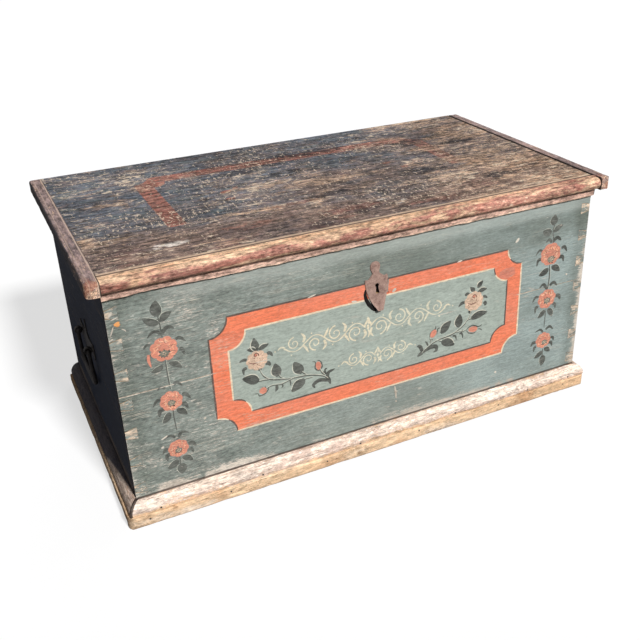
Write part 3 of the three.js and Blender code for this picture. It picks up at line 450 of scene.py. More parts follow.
def weathering_group():
    """Fine mottling, pale flecks and dark cracks over any finish."""
    tree, bench, given, result = new_group(
        "Weathering",
        {
            "Vector": None, "Color": GREY, "Fleck color": WHITE, "Crack color": GREY, "Mottle": 1.0,
            "Flecks": 0.3, "Cracks": 0.5, "Seed": 0.0,
        },
        "Color", "Height",
    )
    place = given["Vector"].shifted(given["Seed"])
    long_grit = place.grained(55.0, 300.0, 5.0, 0.75) - 0.5
    round_grit = place.scaled(0.6, 1.0, 1.0).noise(230.0, 4.0, 0.72) - 0.5
    cloud = place.scaled(0.6, 1.0, 1.0).noise(13.0, 4.0, 0.6) - 0.5
    grit = long_grit * 2.1 + round_grit * 1.8 + cloud * 0.9
    gain = grit * given["Mottle"] + 1.0
    gain = gain | 0.25
    tint = given["Color"].times(gain)
    spots = place.grained(85.0, 250.0, 4.0, 0.68)
    pit = (spots + cloud * 0.35).ramp(0.395, 0.345)
    tint = mix(pit * given["Cracks"] * 0.62, tint, given["Crack color"])
    fleck = spots + cloud * 0.42
    edge = 0.80 - given["Flecks"] * 0.30
    fleck = (fleck - edge).ramp(0.0, 0.03)
    tint = mix(fleck * 0.9, tint, given["Fleck color"])
    field = place.grained(6.0, 190.0, 4.0, 0.62, 0.35)
    crack = abs(field - 0.5).ramp(0.011, 0.002)
    gate = place.scaled(0.5, 1.0, 1.0).noise(21.0, 3.0).ramp(0.44, 0.56)
    crack = (crack * gate * given["Cracks"]).clamped()
    bench.feed(result["Color"], mix(crack, tint, given["Crack color"]))
    relief = grit * 0.45 - crack * 0.9
    bench.feed(result["Height"], relief - fleck * 0.25)
    return tree


def iron_group():
    """Hand-forged iron: hammer marks, rust bloom and rubbed spots."""
    tree, bench, given, result = new_group(
        "Forged iron", {"Vector": None, "Light": WHITE, "Dark": GREY, "Rust": 0.5, "Seed": 0.0}, "Color",
        "Roughness", "Metallic", "Height",
    )
    place = given["Vector"].shifted(given["Seed"])
    bloom = place.noise(55.0, 6.0, 0.68)
    pits = place.noise(420.0, 3.0, 0.6)
    hammer = bench.out(
        "ShaderNodeTexVoronoi", {"Vector": place, "Scale": 90.0}, "Distance", feature="SMOOTH_F1",
    )
    tone = (bloom - 0.5) * 2.4 + 0.5
    tone = (tone + (pits - 0.5) * 1.3).clamped()
    scuffs = bench.group("scratches", {"Vector": place.scaled(3.0, 3.0, 3.0), "Amount": 0.4})["Mask"]
    base = mix(tone, given["Dark"], given["Light"])
    bench.feed(result["Color"], mix(scuffs * 0.6, base, given["Light"]))
    rusty = bloom.ramp(0.62, 0.40)
    rough = given["Rust"] * 0.38 + pits * 0.25
    bench.feed(result["Roughness"], (rough + 0.30).clamped())
    metal = 1.0 - given["Rust"]
    bench.feed(result["Metallic"], (metal * (1.0 - rusty * 0.5)).clamped())
    height = hammer * 0.8 + pits * 0.5
    bench.feed(result["Height"], height + bloom * 0.6)
    return tree


GROUP_MAKERS = {
    "grain": wood_grain_group, "wear": paint_wear_group, "scratches": scratch_group,
    "edges": edge_wear_group, "weather": weathering_group, "paint": old_paint_group, "iron": iron_group,
}
GROUPS = {}


def shared(name):
    """A shared effect, built the first time it is asked for."""
    if name not in GROUPS:
        GROUPS[name] = GROUP_MAKERS[name]()
    return GROUPS[name]


# Materials


def new_material(name):
    """A new material: its bench and the piece's own coordinates and normals."""
    material = bpy.data.materials.new(name)
    material.use_nodes = True
    material.node_tree.nodes.clear()
    bench = Bench(material.node_tree)
    bench.material = material
    coords = bench.outs("ShaderNodeTexCoord")
    return bench, coords["Object"], coords["Normal"]


def along_y(place):
    """Turns the coordinates so that the grain runs front to back."""
    return place.turned(z=math.pi / 2)


def layered(mask, under, over):
    """Two finishes, each (colour, roughness, height), one over the other where the mask is bright."""
    return (
        mix(mask, under[0], over[0]),
        between(mask, under[1], over[1]),
        between(mask, under[2], over[2]),
    )


def finished(bench, finish, bump=0.35, relief=0.7, specular=0.16, normal=None, metallic=0.0):
    """Feeds a finish to the material's shader and gives back the material."""
    tint, rough, height = finish
    surface = {"Strength": bump, "Distance": relief * MM, "Height": height}
    if normal is not None:
        surface["Normal"] = normal
    shader = bench.out("ShaderNodeBsdfPrincipled", {
        "Base Color": tint, "Roughness": rough, "Normal": bench.out("ShaderNodeBump", surface),
        "Specular IOR Level": specular, "Metallic": metallic,
    })
    bench.node("ShaderNodeOutputMaterial", {"Surface": shader})
    return bench.material


def pine(place, light, dark, contrast=1.0, density=12.0, seed=0.0, grime=0.0):
    """Unpainted wood, with its dust and knocks."""
    wood = place.bench.group("grain", {"Vector": place, "Light": light, "Dark": dark, "Contrast": contrast,
                                      "Line density": density, "Seed": seed})
    stain = place.shifted(2.0 + seed).noise(11.0, 5.0, 0.62).ramp(0.50, 0.72)
    tint = mix(stain * 0.45, wood["Color"], dark, "MULTIPLY")
    marks = place.bench.group(
        "wear", {"Vector": place, "Amount": 0.2 + grime, "Patch size": 0.2, "Seed": 5.0 + seed},
    )
    tint = mix(marks["Bare"] * 0.55, tint, dark)
    rough = wood["Height"] * -0.2 + 0.66
    return tint, rough, wood["Height"]


def coat(place, paint, shade, wear, ground, wood_light, wood_dark, bare=0.0, grime=0.0, streaks=0.5,
         patch=0.12, ground_share=0.4, scratches=0.3, seed=0.0):
    """A coat of old paint as a finish."""
    out = place.bench.group("paint", {
        "Vector": place, "Paint": paint, "Paint shade": shade, "Ground": ground, "Wood light": wood_light,
        "Wood dark": wood_dark, "Wear": wear, "Patch size": patch, "Extra bare": bare, "Extra grime": grime,
        "Streaks": streaks, "Ground share": ground_share, "Scratches": scratches, "Seed": seed,
    })
    return out["Color"], out["Roughness"], out["Height"]


def weathered(
    place, finish, fleck, mottle=1.0, flecks=0.3, cracks=0.5, crack=(0.045, 0.035, 0.032, 1.0), seed=0.0,
    size=1.0,
):
    """Mottling, flecks and cracks over a finish; the size makes them coarser."""
    out = place.bench.group(
        "weather",
        {
            "Vector": place.scaled(1 / size, 1 / size, 1 / size), "Color": finish[0],
            "Fleck color": fleck, "Crack color": crack, "Mottle": mottle, "Flecks": flecks,
            "Cracks": cracks, "Seed": seed,
        },
    )
    return out["Color"], finish[1], finish[2] + out["Height"]


def facing(normal, x=0.0, y=0.0, z=0.0):
    """Bright where the piece's surface looks along a direction."""
    inputs = {0: normal, 1: (x, y, z)}
    dot = normal.bench.out("ShaderNodeVectorMath", inputs, "Value", operation="DOT_PRODUCT")
    return dot.ramp(0.45, 0.6)


def seam_line(place):
    """The crack between the two boards of the front, with the paint chipped along it."""
    x, _, z = place.axes()
    height = x * -0.00424 + 0.3155
    away = abs(z - height)
    ragged = place.noise(120.0, 3.0) * 0.0028
    line = (away - ragged).ramp(0.0004, -0.0006)
    gate = (place.scaled(1.0, 0.0, 0.0).noise(9.0, 3.0).ramp(0.42, 0.6) + x.ramp(-0.42, -0.5)).clamped()
    return line * gate


def front_finish(place, wear, more_bare, endwise):
    """The front: dark and rubbed at the left, clean and bluer at the right; its ends match the sides."""
    paint = bpy.context.scene.chest_paint
    wood = bpy.context.scene.chest_wood
    x, _, z = place.axes()
    leftwards = x.ramp(0.15, -0.5)
    grime = leftwards * 0.42 - 0.14
    grime = abs(x).ramp(0.535, 0.570) * 0.42 + grime
    rightwards = x.ramp(-0.18, 0.02) * x.ramp(0.25, 0.50, 0.54, 0.34)
    # Darker in a band just below the lid, from the middle to the right.
    grime = grime + z.ramp(0.42, 0.450) * z.ramp(0.520, 0.495) * rightwards
    splashed = place.scaled(1.0, 1.0, 0.4).noise(8.0, 3.0).ramp(0.44, 0.56)
    foot = z.ramp(0.090, 0.064) * (splashed * 0.60 + x.ramp(-0.44, -0.54) * 0.16)
    ends = abs(x).ramp(0.572, 0.592) * 0.17 + x.ramp(0.562, 0.590) * z.ramp(0.44, 0.36) * 0.50
    bare = foot + ends + leftwards * 0.17 + seam_line(place) * 0.8 + more_bare - endwise
    field = mix(x.ramp(0.05, 0.42), paint.front, paint.front_blue)
    # The end faces take the sides' dark paint, which is partly painted shade.
    finish = coat(
        place, mix(endwise, field, paint.side), mix(endwise, paint.front_shade, paint.side_shade), wear,
        srgb(160, 160, 152), wood.flaked_light, wood.flaked_dark, bare=bare, grime=grime, streaks=0.62,
        patch=0.10, ground_share=0.5, scratches=0.5,
    )
    rough_left = leftwards * 0.55 + 0.35
    tint, rough, height = weathered(
        place.scaled(0.75, 1.0, 1.0), finish, srgb(200, 198, 188), mottle=rough_left,
        flecks=leftwards * 0.16 + 0.25, cracks=rough_left * 0.6, crack=srgb(76, 84, 80), size=1.0,
    )
    hair = place.grained(4.0, 260.0, 2.0, 0.5, 0.4)
    hair = abs(hair - 0.5).ramp(0.014, 0.003)
    broken = place.scaled(0.3, 1.0, 1.0).noise(34.0, 4.0, 0.7).ramp(0.50, 0.58)
    hair = hair * broken * (leftwards * 0.45 + 0.25)
    tint = mix(hair, tint, srgb(216, 204, 186))
    # Painted light: a paler strip just below the lid, in place of the shadow that the lid's lip casts on
    # the front.
    sheltered = z.ramp(0.494, 0.520) * (endwise * -0.31 + 0.31) * x.ramp(-0.53, -0.42)
    tint = mix(sheltered, tint, srgb(188, 192, 184))
    tint = mix(z.ramp(0.0655, 0.0632) * 0.8, tint, srgb(62, 50, 44))
    return tint, rough, height


def front_paint():
    """The front boards: painted outside, bare pine within and on their upper edge."""
    scene = bpy.context.scene
    bench, place, normal = new_material("front_paint_worn")
    edges = bench.group("edges", {"Width": 0.0022})
    endwise = facing(normal, x=-1.0) | facing(normal, x=1.0)
    outside = front_finish(place, scene.chest_wear.front, edges["Mask"] * 0.35, endwise)
    inside = pine(place, scene.chest_wood.pine_light, scene.chest_wood.pine_dark, seed=1.0)
    within = facing(normal, y=1.0) | facing(normal, z=1.0)
    return finished(bench, layered(within, outside, inside), normal=edges["Normal"])


def side_paint():
    """The ends: painted outside, bare within, with the pins of the dovetails on the front and the back."""
    scene = bpy.context.scene
    paint, wood, wear = scene.chest_paint, scene.chest_wood, scene.chest_wear
    bench, place, normal = new_material("side_paint_worn")
    edges = bench.group("edges", {"Width": 0.0022})
    x, y, z = place.axes()
    pins = facing(normal, y=-1.0)
    behind = facing(normal, y=1.0)
    turned = mix(pins, along_y(place), place)
    foot = z.ramp(0.10, 0.062) * 0.5
    ends = abs(y - MIDDLE_Y).ramp(0.29, 0.325) * 0.25
    bare = foot + ends + edges["Mask"] * 0.5
    paler_right = x.ramp(0.0, 0.5) * 0.16
    knocked = (place.scaled(1.0, 1.0, 1.8).noise(40.0, 4.0, 0.7) - 0.5) * 2.2
    bare = between(pins, bare, knocked + paler_right + 0.15)
    # Off the pins, the paint, its ground, its flecks and the wood where it is worn through are all dark:
    # partly the ends' own colour, partly painted shade.
    outside = coat(
        turned, mix(pins, paint.side, paint.front), mix(pins, paint.side_shade, paint.front_shade),
        wear.side, mix(pins, srgb(96, 92, 92), srgb(160, 156, 146)),
        mix(pins, srgb(150, 136, 124), wood.bare_light), mix(pins, srgb(110, 98, 92), wood.flaked_dark),
        bare=bare, grime=0.2, streaks=0.6, patch=0.12, ground_share=0.5, scratches=0.6, seed=3.0,
    )
    outside = weathered(
        turned, outside, mix(pins, srgb(120, 114, 112), wood.bare_light), mottle=0.8, flecks=0.34,
        cracks=0.5, size=1.5,
    )
    bare_wood = pine(
        mix(behind, turned, place.scaled(9.0, 1.0, 1.6)), mix(behind, wood.pine_light, wood.back_light),
        mix(behind, wood.pine_dark, wood.back_dark), seed=2.0,
    )
    inward = facing(normal, x=1.0) * x.ramp(0.1, -0.1) | facing(normal, x=-1.0) * x.ramp(-0.1, 0.1)
    inward = inward | (facing(normal, z=1.0) | behind)
    return finished(bench, layered(inward, outside, bare_wood), normal=edges["Normal"])


def bare_pine(name, light, dark, grain="x", contrast=1.0, density=12.0, grime=0.0, edge=0.002):
    """Plain boards: the back, the bottom and the till."""
    bench, place, _ = new_material(name)
    place = place if grain == "x" else along_y(place)
    edges = bench.group("edges", {"Width": edge})
    tint, rough, height = pine(place, light, dark, contrast, density, grime=grime)
    tint = mix(edges["Mask"] * 0.5, tint, light)
    scuffs = bench.group("scratches", {"Vector": place, "Amount": 0.35})["Mask"]
    tint = mix(scuffs, tint, light)
    return finished(bench, (tint, rough, height), bump=0.5, normal=edges["Normal"])


def back_boards():
    """The back: bare weathered pine, with the ends of its dovetails painted like the sides."""
    scene = bpy.context.scene
    paint, wood = scene.chest_paint, scene.chest_wood
    bench, place, normal = new_material("back_pine_weathered")
    edges = bench.group("edges", {"Width": 0.002})
    inner = facing(normal, y=-1.0)
    rough_pine = pine(
        place, mix(inner, wood.back_light, wood.pine_light), mix(inner, wood.back_dark, wood.pine_dark),
        density=10.0, grime=0.2,
    )
    # The ends of the dovetails take the sides' dark paint, which is partly painted shade.
    ends = coat(
        place, paint.side, paint.side_shade, scene.chest_wear.side, srgb(96, 92, 92), srgb(150, 136, 124),
        srgb(110, 98, 92), bare=edges["Mask"] * 0.3, seed=3.0,
    )
    endwise = facing(normal, x=-1.0) | facing(normal, x=1.0)
    return finished(bench, layered(endwise, rough_pine, ends), bump=0.5, normal=edges["Normal"])


def lid_seam_height(x):
    """Where the joint of the lid's boards runs, slightly askew."""
    return x * -0.0178 + (FRONT_Y + 0.1735)


LID_SPOTS = (
    (
        (
            (-130, 10, 110, 26), (30, -30, 150, 34), (-480, 60, 70, 26), (420, -40, 130, 22),
            (-530, -160, 80, 22),
        ),
        (190, 158, 130), 0.50,
    ),
    (
        ((-430, -235, 52, 17), (65, -215, 18, 8), (92, -250, 16, 8), (112, -240, 12, 7)), (222, 212, 202),
        0.75,
    ),
    (
        (
            (330, 150, 70, 26), (250, -80, 90, 26), (400, -200, 70, 22), (-60, 70, 80, 26),
            (-20, -120, 90, 20), (470, 90, 60, 24), (60, 200, 150, 30), (-160, 130, 90, 22),
            (200, 250, 120, 24), (-420, 240, 90, 26),
        ),
        (44, 43, 48), 0.85,
    ),
    (
        ((-250, -215, 90, 22), (-20, -230, 110, 24), (170, -270, 90, 18), (-120, -140, 70, 14)),
        (128, 78, 66), 0.5,
    ),
)


def around(x, y, u, v, reach_u, reach_v):
    """Bright inside an oval, given in millimetres."""
    over_u = (x - u * MM) / (reach_u * MM)
    over_v = (y - v * MM) / (reach_v * MM)
    away = over_u * over_u + over_v * over_v
    return away.ramp(1.5, 0.0)


def lid_finish(place, paint_colour, shade_colour, wear, seed=11.0, browning=1.0):
    """The lid's top: blue-grey at the back left, greasy brown in front, rubbed to tan wood at the right."""
    wood = bpy.context.scene.chest_wood
    x, y, _ = place.axes()
    cloud = place.scaled(0.7, 1.0, 1.0).noise(5.5, 5.0, 0.62) - 0.5
    from_seam = y - lid_seam_height(x)
    fore = (cloud * 0.50 + from_seam).ramp(0.080, -0.090)
    rightwards = (cloud * 0.5 + x).ramp(0.12, 0.50)
    middle = abs(cloud * 0.6 + x - 0.06).ramp(0.30, 0.05) * abs(from_seam - 0.10).ramp(0.13, 0.03)
    seam = abs(from_seam).ramp(0.030, 0.002) * place.scaled(1.0, 0.3, 1.0).noise(7.0, 3.0).ramp(0.42, 0.60)
    bare = rightwards * 0.25 + seam * 0.30 + middle * 0.12 + fore * 0.05
    brown = fore * 0.85 + (rightwards + middle) * 0.55
    patch = place.scaled(0.55, 1.0, 1.0).noise(26.0, 5.0, 0.7)
    brown = brown + cloud * 1.1
    brown = (brown + (patch * 1.3 - 0.65)).clamped() * browning
    greasy = mix(patch.ramp(0.36, 0.62), wood.lid_dark, srgb(164, 138, 122))
    greasy = mix(
        place.scaled(0.6, 1.0, 1.0).noise(15.0, 4.0, 0.6).ramp(0.54, 0.66), greasy, srgb(128, 92, 80),
    )
    hue = place.scaled(0.5, 1.0, 1.0).noise(34.0, 4.0, 0.65)
    cool = mix(hue.ramp(0.50, 0.62) * 0.6, paint_colour, srgb(104, 116, 110))
    cool = mix(hue.ramp(0.47, 0.38) * 0.6, cool, srgb(112, 92, 86))
    tint = mix(brown, cool, greasy)
    shade_tint = mix(brown, shade_colour, wood.lid_dark)
    light = mix(place.noise(40.0, 4.0, 0.65).ramp(0.42, 0.62), wood.lid_light, srgb(226, 196, 168))
    finish = coat(
        place, tint, shade_tint, wear, srgb(142, 124, 114), light, srgb(150, 118, 96), bare=bare,
        grime=0.12, streaks=0.8, patch=0.045, ground_share=0.34, scratches=0.7, seed=seed,
    )
    flecks = (rightwards + seam) * 0.20 + 0.55
    tint = finish[0]
    broken = place.scaled(0.4, 1.0, 1.0).noise(75.0, 5.0, 0.72)
    for spots, tone, strength in LID_SPOTS:
        mask = None
        for spot in spots:
            near = around(x, y, *spot)
            mask = near if mask is None else mask | near
        mask = (broken * 2.4 + (mask * 0.55 - 1.2)).ramp(0.36, 0.56)
        tint = mix(mask * strength, tint, srgb(*tone))
    finish = (tint, *finish[1:])
    tint, rough, height = weathered(
        place, finish, srgb(224, 204, 180), mottle=2.2, flecks=flecks, cracks=1.0, crack=srgb(46, 38, 36),
        seed=seed, size=2.6,
    )
    speck = cloud * 0.4 + place.scaled(1.0, 0.42, 1.0).noise(150.0, 3.0, 0.72)
    tint = mix(speck.ramp(0.40, 0.33) * 0.6, tint, srgb(44, 42, 46))
    tint = mix(speck.ramp(0.60, 0.67) * 0.8, tint, srgb(226, 206, 182))
    joint = y - FRONT_Y
    tint = mix(joint.ramp(0.015, 0.008) * 0.65, tint, srgb(236, 206, 176))
    tint = mix(joint.ramp(0.0065, 0.0040) * 0.85, tint, srgb(70, 50, 44))
    tint = mix(x.ramp(0.5845, 0.5865) * 0.92, tint, srgb(34, 26, 24))
    return tint, rough, height


def lid_paint():
    """The lid's boards: painted on top, clean pine below and dirty pine on the rims."""
    scene = bpy.context.scene
    paint, wood = scene.chest_paint, scene.chest_wood
    bench, place, normal = new_material("lid_paint_worn")
    edges = bench.group("edges", {"Width": 0.0025})
    outside = lid_finish(place, paint.lid, paint.lid_shade, scene.chest_wear.lid)
    inside = pine(place, wood.pine_light, wood.pine_dark, seed=7.0, grime=0.1)
    rim = pine(place, wood.back_light, wood.back_dark, seed=8.0, grime=0.2)
    top = facing(normal, z=1.0)
    finish = layered(facing(normal, z=-1.0), rim, inside)
    finish = layered(top, finish, outside)
    return finished(bench, finish, bump=0.6, normal=edges["Normal"])


def cleat_paint():
    """The cleats at the lid's ends: brown, greasy and rubbed, with the grain front to back."""
    scene = bpy.context.scene
    paint, wood = scene.chest_paint, scene.chest_wood
    bench, place, normal = new_material("cleat_paint_worn")
    turned = along_y(place)
    x, y, _ = place.axes()
    fore = y.ramp(-0.318, -0.342) * 0.30
    rim = x.ramp(0.612, 0.620) * 0.25
    # Faces looking to the left are painted dark brown as shade.
    shaded = facing(normal, x=-1.0)
    finish = coat(
        turned, mix(shaded, srgb(184, 155, 147), srgb(82, 72, 70)), paint.lid_shade, 0.28,
        srgb(156, 124, 108), wood.nosing_light, wood.bare_dark, bare=fore + rim, grime=0.15, streaks=0.7,
        patch=0.05, ground_share=0.6, scratches=0.8, seed=13.0,
    )
    tint, rough, height = weathered(
        turned, finish, srgb(214, 180, 154), mottle=1.6, flecks=0.46, cracks=1.0, seed=2.0, size=2.0,
    )
    red = y.ramp(-0.305, -0.335) * place.noise(60.0, 3.0).ramp(0.48, 0.56)
    tint = mix(red * 0.6, tint, srgb(150, 88, 70))
    tint = mix(abs(x + 0.5945).ramp(0.0016, 0.0006) * 0.7, tint, srgb(214, 190, 168))
    tint = mix(abs(x + 0.611).ramp(0.0014, 0.0006) * 0.4, tint, srgb(206, 180, 160))
    gap = abs(x - 0.592).ramp(0.0045, 0.003) | abs(x + 0.592).ramp(0.0028, 0.0012) * y.ramp(-0.29, -0.33)
    tint = mix(gap * 0.9, tint, srgb(34, 26, 24))
    return finished(bench, (tint, rough, height), bump=0.6)


def nosing_paint():
    """The lid's front moulding: rubbed yellow crest, dull red face and brown hanging lip."""
    wood = bpy.context.scene.chest_wood
    bench, place, normal = new_material("nosing_paint_worn")
    x, _, z = place.axes()
    drop = LID_Z - z
    cloud = place.grained(9.0, 60.0, 5.0, 0.65) - 0.5
    lower = x.ramp(-0.1, 0.4) * 0.005 + drop
    face = (cloud * 0.030 + lower).ramp(0.0025, 0.0075)
    low_face = (drop + cloud * 0.030).ramp(0.027, 0.022)
    patches = place.scaled(0.45, 1.0, 1.0).noise(34.0, 5.0, 0.66).ramp(0.40, 0.50)
    face = face * (low_face * patches)
    lip = drop.ramp(0.0295, 0.0315)
    foot = (drop + cloud * 0.006).ramp(0.0455, 0.0495)
    quirk = abs(drop - 0.0315).ramp(0.0018, 0.0004) * 0.6
    crest = pine(place, wood.nosing_light, wood.bare_dark, contrast=1.1, density=7.0, seed=3.0)
    red = coat(
        place, wood.nosing_red, srgb(158, 116, 108), 0.40, srgb(206, 162, 142), wood.nosing_light,
        wood.bare_dark, streaks=0.8, patch=0.05, ground_share=0.6, scratches=0.5, seed=17.0,
    )
    brown = coat(
        place, srgb(222, 184, 164), srgb(190, 152, 136), 0.36, srgb(216, 184, 164), wood.nosing_light,
        wood.bare_dark, streaks=0.9, patch=0.05, ground_share=0.6, scratches=0.4, seed=19.0,
    )
    pale = pine(place, srgb(234, 204, 180), srgb(206, 168, 142), seed=4.0)
    finish = layered(face, crest, red)
    finish = layered(lip, finish, brown)
    finish = layered(foot, finish, pale)
    tint = mix(quirk, finish[0], srgb(92, 66, 56))
    behind = facing(normal, y=1.0)
    inside = pine(place, wood.pine_light, wood.pine_dark, seed=9.0)
    finish = layered(behind, (tint, *finish[1:]), inside)
    finish = weathered(
        place, finish, srgb(248, 222, 194), mottle=1.5, flecks=0.48, cracks=0.9, crack=srgb(112, 78, 68),
        seed=4.0, size=1.8,
    )
    return finished(bench, finish, bump=0.6, relief=1.0)


def plinth_paint(name, grain, seed):
    """The plinth's moulding: chalky pink-white left in the hollows, stained and rubbed elsewhere, and dark
    blue as painted shade on the left end's back part.
    """
    wood = bpy.context.scene.chest_wood
    bench, place, _ = new_material(name)
    turned = place if grain == "x" else along_y(place)
    x, y, z = place.axes()
    low = z.ramp(0.046, 0.034) * 0.25
    top = z.ramp(0.056, 0.062) * 0.15
    finish = coat(
        turned, wood.plinth_light, srgb(226, 200, 180), 0.36, wood.plinth_dark, wood.base_light,
        wood.base_dark, bare=low + top, streaks=0.45, patch=0.09, ground_share=0.75, scratches=0.4,
        seed=seed,
    )
    stain = turned.scaled(0.5, 1.6, 1.6).noise(16.0, 6.0, 0.7).ramp(0.55, 0.66)
    tint = mix(stain * 0.55, finish[0], wood.plinth_dark)
    finish = (tint, *finish[1:])
    tint, rough, height = weathered(
        turned, finish, srgb(252, 244, 234), mottle=0.9, flecks=0.46, cracks=0.9, crack=srgb(128, 98, 86),
        seed=seed, size=1.8,
    )
    # Painted shade: the left moulding is dark blue behind the line of the chest's cast shadow, which runs
    # back from the front corner.
    reach = (LEFT_X - x) * 9.0 + FRONT_Y
    far = x.ramp(-0.56, -0.59) * (y - reach).ramp(0.0, 0.03) * (y - FRONT_Y).ramp(0.0, 0.004)
    tint = mix(far * 0.85, tint, srgb(56, 60, 78))
    if grain == "x":
        behind = (y - FRONT_Y).ramp(-0.0046, -0.0026) * 0.85
        tint = mix(behind, tint, srgb(66, 50, 44))
    mitre = x - LEFT_X - (y - FRONT_Y)
    gap = abs(mitre).ramp(0.0062, 0.0044)
    tint = mix(gap * 0.9, tint, srgb(40, 30, 27))
    return finished(bench, (tint, rough, height), bump=0.6, relief=1.0)


def base_wood(name, grain, seed):
    """The base strip: yellow pine, scuffed and knocked, dark in its dents."""
    wood = bpy.context.scene.chest_wood
    bench, place, _ = new_material(name)
    turned = place if grain == "x" else along_y(place)
    tint, rough, height = pine(turned, wood.base_light, wood.base_dark, 0.9, 9.0, seed=seed, grime=0.1)
    rubbed = turned.scaled(0.4, 1.5, 1.5).noise(14.0, 5.0, 0.65).ramp(0.52, 0.66)
    tint = mix(rubbed * 0.6, tint, wood.plinth_light)
    dents = turned.scaled(1.0, 2.5, 2.5).noise(42.0, 3.0, 0.5).ramp(0.68, 0.74)
    tint = mix(dents * 0.7, tint, srgb(140, 100, 68))
    finish = weathered(
        turned, (tint, rough, height), srgb(252, 238, 214), mottle=0.8, flecks=0.44, cracks=0.9,
        crack=srgb(132, 96, 66), seed=seed, size=1.6,
    )
    return finished(bench, finish, bump=0.6, relief=1.0)


def iron(name, light, dark, rust, seed, edge=0.0012):
    """Forged iron, rubbed light on its edges."""
    bench, place, _ = new_material(name)
    out = bench.group("iron", {"Vector": place, "Light": light, "Dark": dark, "Rust": rust, "Seed": seed})
    edges = bench.group("edges", {"Width": edge})
    tint = mix(edges["Mask"] * 0.5, out["Color"], light)
    return finished(
        bench, (tint, out["Roughness"], out["Height"]), bump=0.5, relief=1.2, specular=0.4,
        normal=edges["Normal"], metallic=out["Metallic"],
    )


def ornament_paint(
    name, tint, shade, wear, streaks=0.35, ground=(143, 149, 143), bare=0.0, grime=0.0, seed=0.0,
    scratches=0.35, mottle=0.4, fleck=(216, 200, 184), crack=(96, 90, 84), faded=None,
):
    """Paint brushed over the front's field, which shows where it has gone thin or faded in a spot."""
    wood = bpy.context.scene.chest_wood
    bench, place, _ = new_material(name)
    x, _, z = place.axes()
    more = seam_line(place) * 0.55 + bare
    if faded:
        spot = around(x, z, *faded)
        broken = (place.noise(70.0, 4.0, 0.7) * 1.6 + spot).ramp(1.0, 1.4)
        more = broken * 0.20 + more
        grime = broken * 0.7 + grime
    more = more + x.ramp(0.15, -0.5) * 0.10
    finish = coat(
        place, tint, shade, wear, srgb(*ground), wood.flaked_light, wood.flaked_dark, bare=more,
        grime=grime, streaks=streaks, patch=0.10, ground_share=0.45, scratches=scratches, seed=seed,
    )
    finish = weathered(
        place, finish, srgb(*fleck), mottle=mottle, flecks=0.27, cracks=0.25, crack=srgb(*crack),
        size=1.4,
    )
    return finished(bench, finish)


def lid_ornament_paint(name, tint, shade, wear):
    """Paint of the lid's frame and flowers, mostly rubbed away."""
    bench, place, _ = new_material(name)
    finish = lid_finish(place, tint, shade, wear, browning=0.35)
    return finished(bench, finish, bump=0.6)


# Painted shapes, drawn in millimetres on the plane they lie on


class Plane:
    """A painted face: its directions, and the slot and the body of what lies on it."""

    def __init__(self, origin, right, onward, out, slot_name="", body=""):
        self.origin, self.right, self.onward, self.out = (Vector(v) for v in (origin, right, onward, out))
        self.slot_name, self.body = slot_name, body

    def at(self, u, v, lift):
        return self.origin + self.right * (u * MM) + self.onward * (v * MM) + self.out * lift


FRONT = Plane((0, FRONT_Y, 0), (1, 0, 0), (0, 0, 1), (0, -1, 0), "front_paint", "carcass")
TOP = Plane((0, 0, LID_Z), (1, 0, 0), (0, 1, 0), (0, 0, 1), "lid_paint", "lid")


def wobbled(u, v, amount, salt=0.0):
    """Moves a point a little, as a hand-held brush does."""
    seed = bpy.context.scene.chest_ornament.seed + salt
    place = Vector((u * 0.11, v * 0.11, seed * 3.7))
    return u + noise.noise(place) * amount, v + noise.noise(place + Vector((31.4, 7.1, 0))) * amount


def wander():
    """How far a brushed edge strays, in millimetres."""
    return bpy.context.scene.chest_ornament.wobble / MM


def new_piece(name, mesh_data, material, slot_name, body, node=None):
    """Puts a finished mesh in the scene, on its body and with its finish; it may stand for a CAD node."""
    piece = bpy.data.objects.new(name, mesh_data)
    bpy.context.scene.collection.objects.link(piece)
    mesh_data.materials.clear()
    mesh_data.materials.append(material)
    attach(piece, body)
    if node:
        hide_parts(node)
    return piece


def mesh_from(name, build, sharp_over=None):
    """A mesh filled by a function that is given an empty bmesh; it is smooth where an angle is given."""
    shape = bmesh.new()
    build(shape)
    bmesh.ops.recalc_face_normals(shape, faces=shape.faces)
    bmesh.ops.triangulate(shape, faces=[face for face in shape.faces if len(face.verts) > 4])
    data = bpy.data.meshes.new(name)
    shape.to_mesh(data)
    shape.free()
    if sharp_over is not None:
        for face in data.polygons:
            face.use_smooth = True
        data.set_sharp_from_angle(angle=math.radians(sharp_over))
    return data


def loft(shape, rows):
    """Joins rows of vertices that run round a closed section, and caps both ends."""
    count = len(rows[0])
    for row, following in zip(rows, rows[1:]):
        for index in range(count):
            onward = (index + 1) % count
            shape.faces.new((row[index], row[onward], following[onward], following[index]))
    shape.faces.new(rows[0])
    shape.faces.new(list(reversed(rows[-1])))


def slab(shape, plane, cells, lift):
    """A thin closed slab of paint over flat cells, which are lists of points that share their corners."""
    sink = -bpy.context.scene.chest_ornament.paint_sink
    corners = {}

    def corner(point, height):
        key = (round(point[0], 4), round(point[1], 4), height)
        if key not in corners:
            corners[key] = shape.verts.new(plane.at(point[0], point[1], height))
        return corners[key]

    edges = {}
    for cell in cells:
        for start_point, end_point in zip(cell, cell[1:] + cell[:1]):
            first, second = corner(start_point, lift), corner(end_point, lift)
            pair = (second, first)
            if pair in edges:
                del edges[pair]
            else:
                edges[(first, second)] = (start_point, end_point)
    for cell in cells:
        shape.faces.new([corner(point, lift) for point in cell])
        shape.faces.new([corner(point, sink) for point in reversed(cell)])
    for (first, second), (start_point, end_point) in edges.items():
        shape.faces.new([second, first, corner(start_point, sink), corner(end_point, sink)])


def paint_layer(layer):
    """How far the coat with this number stands proud of the wood."""
    return bpy.context.scene.chest_ornament.paint_step * layer


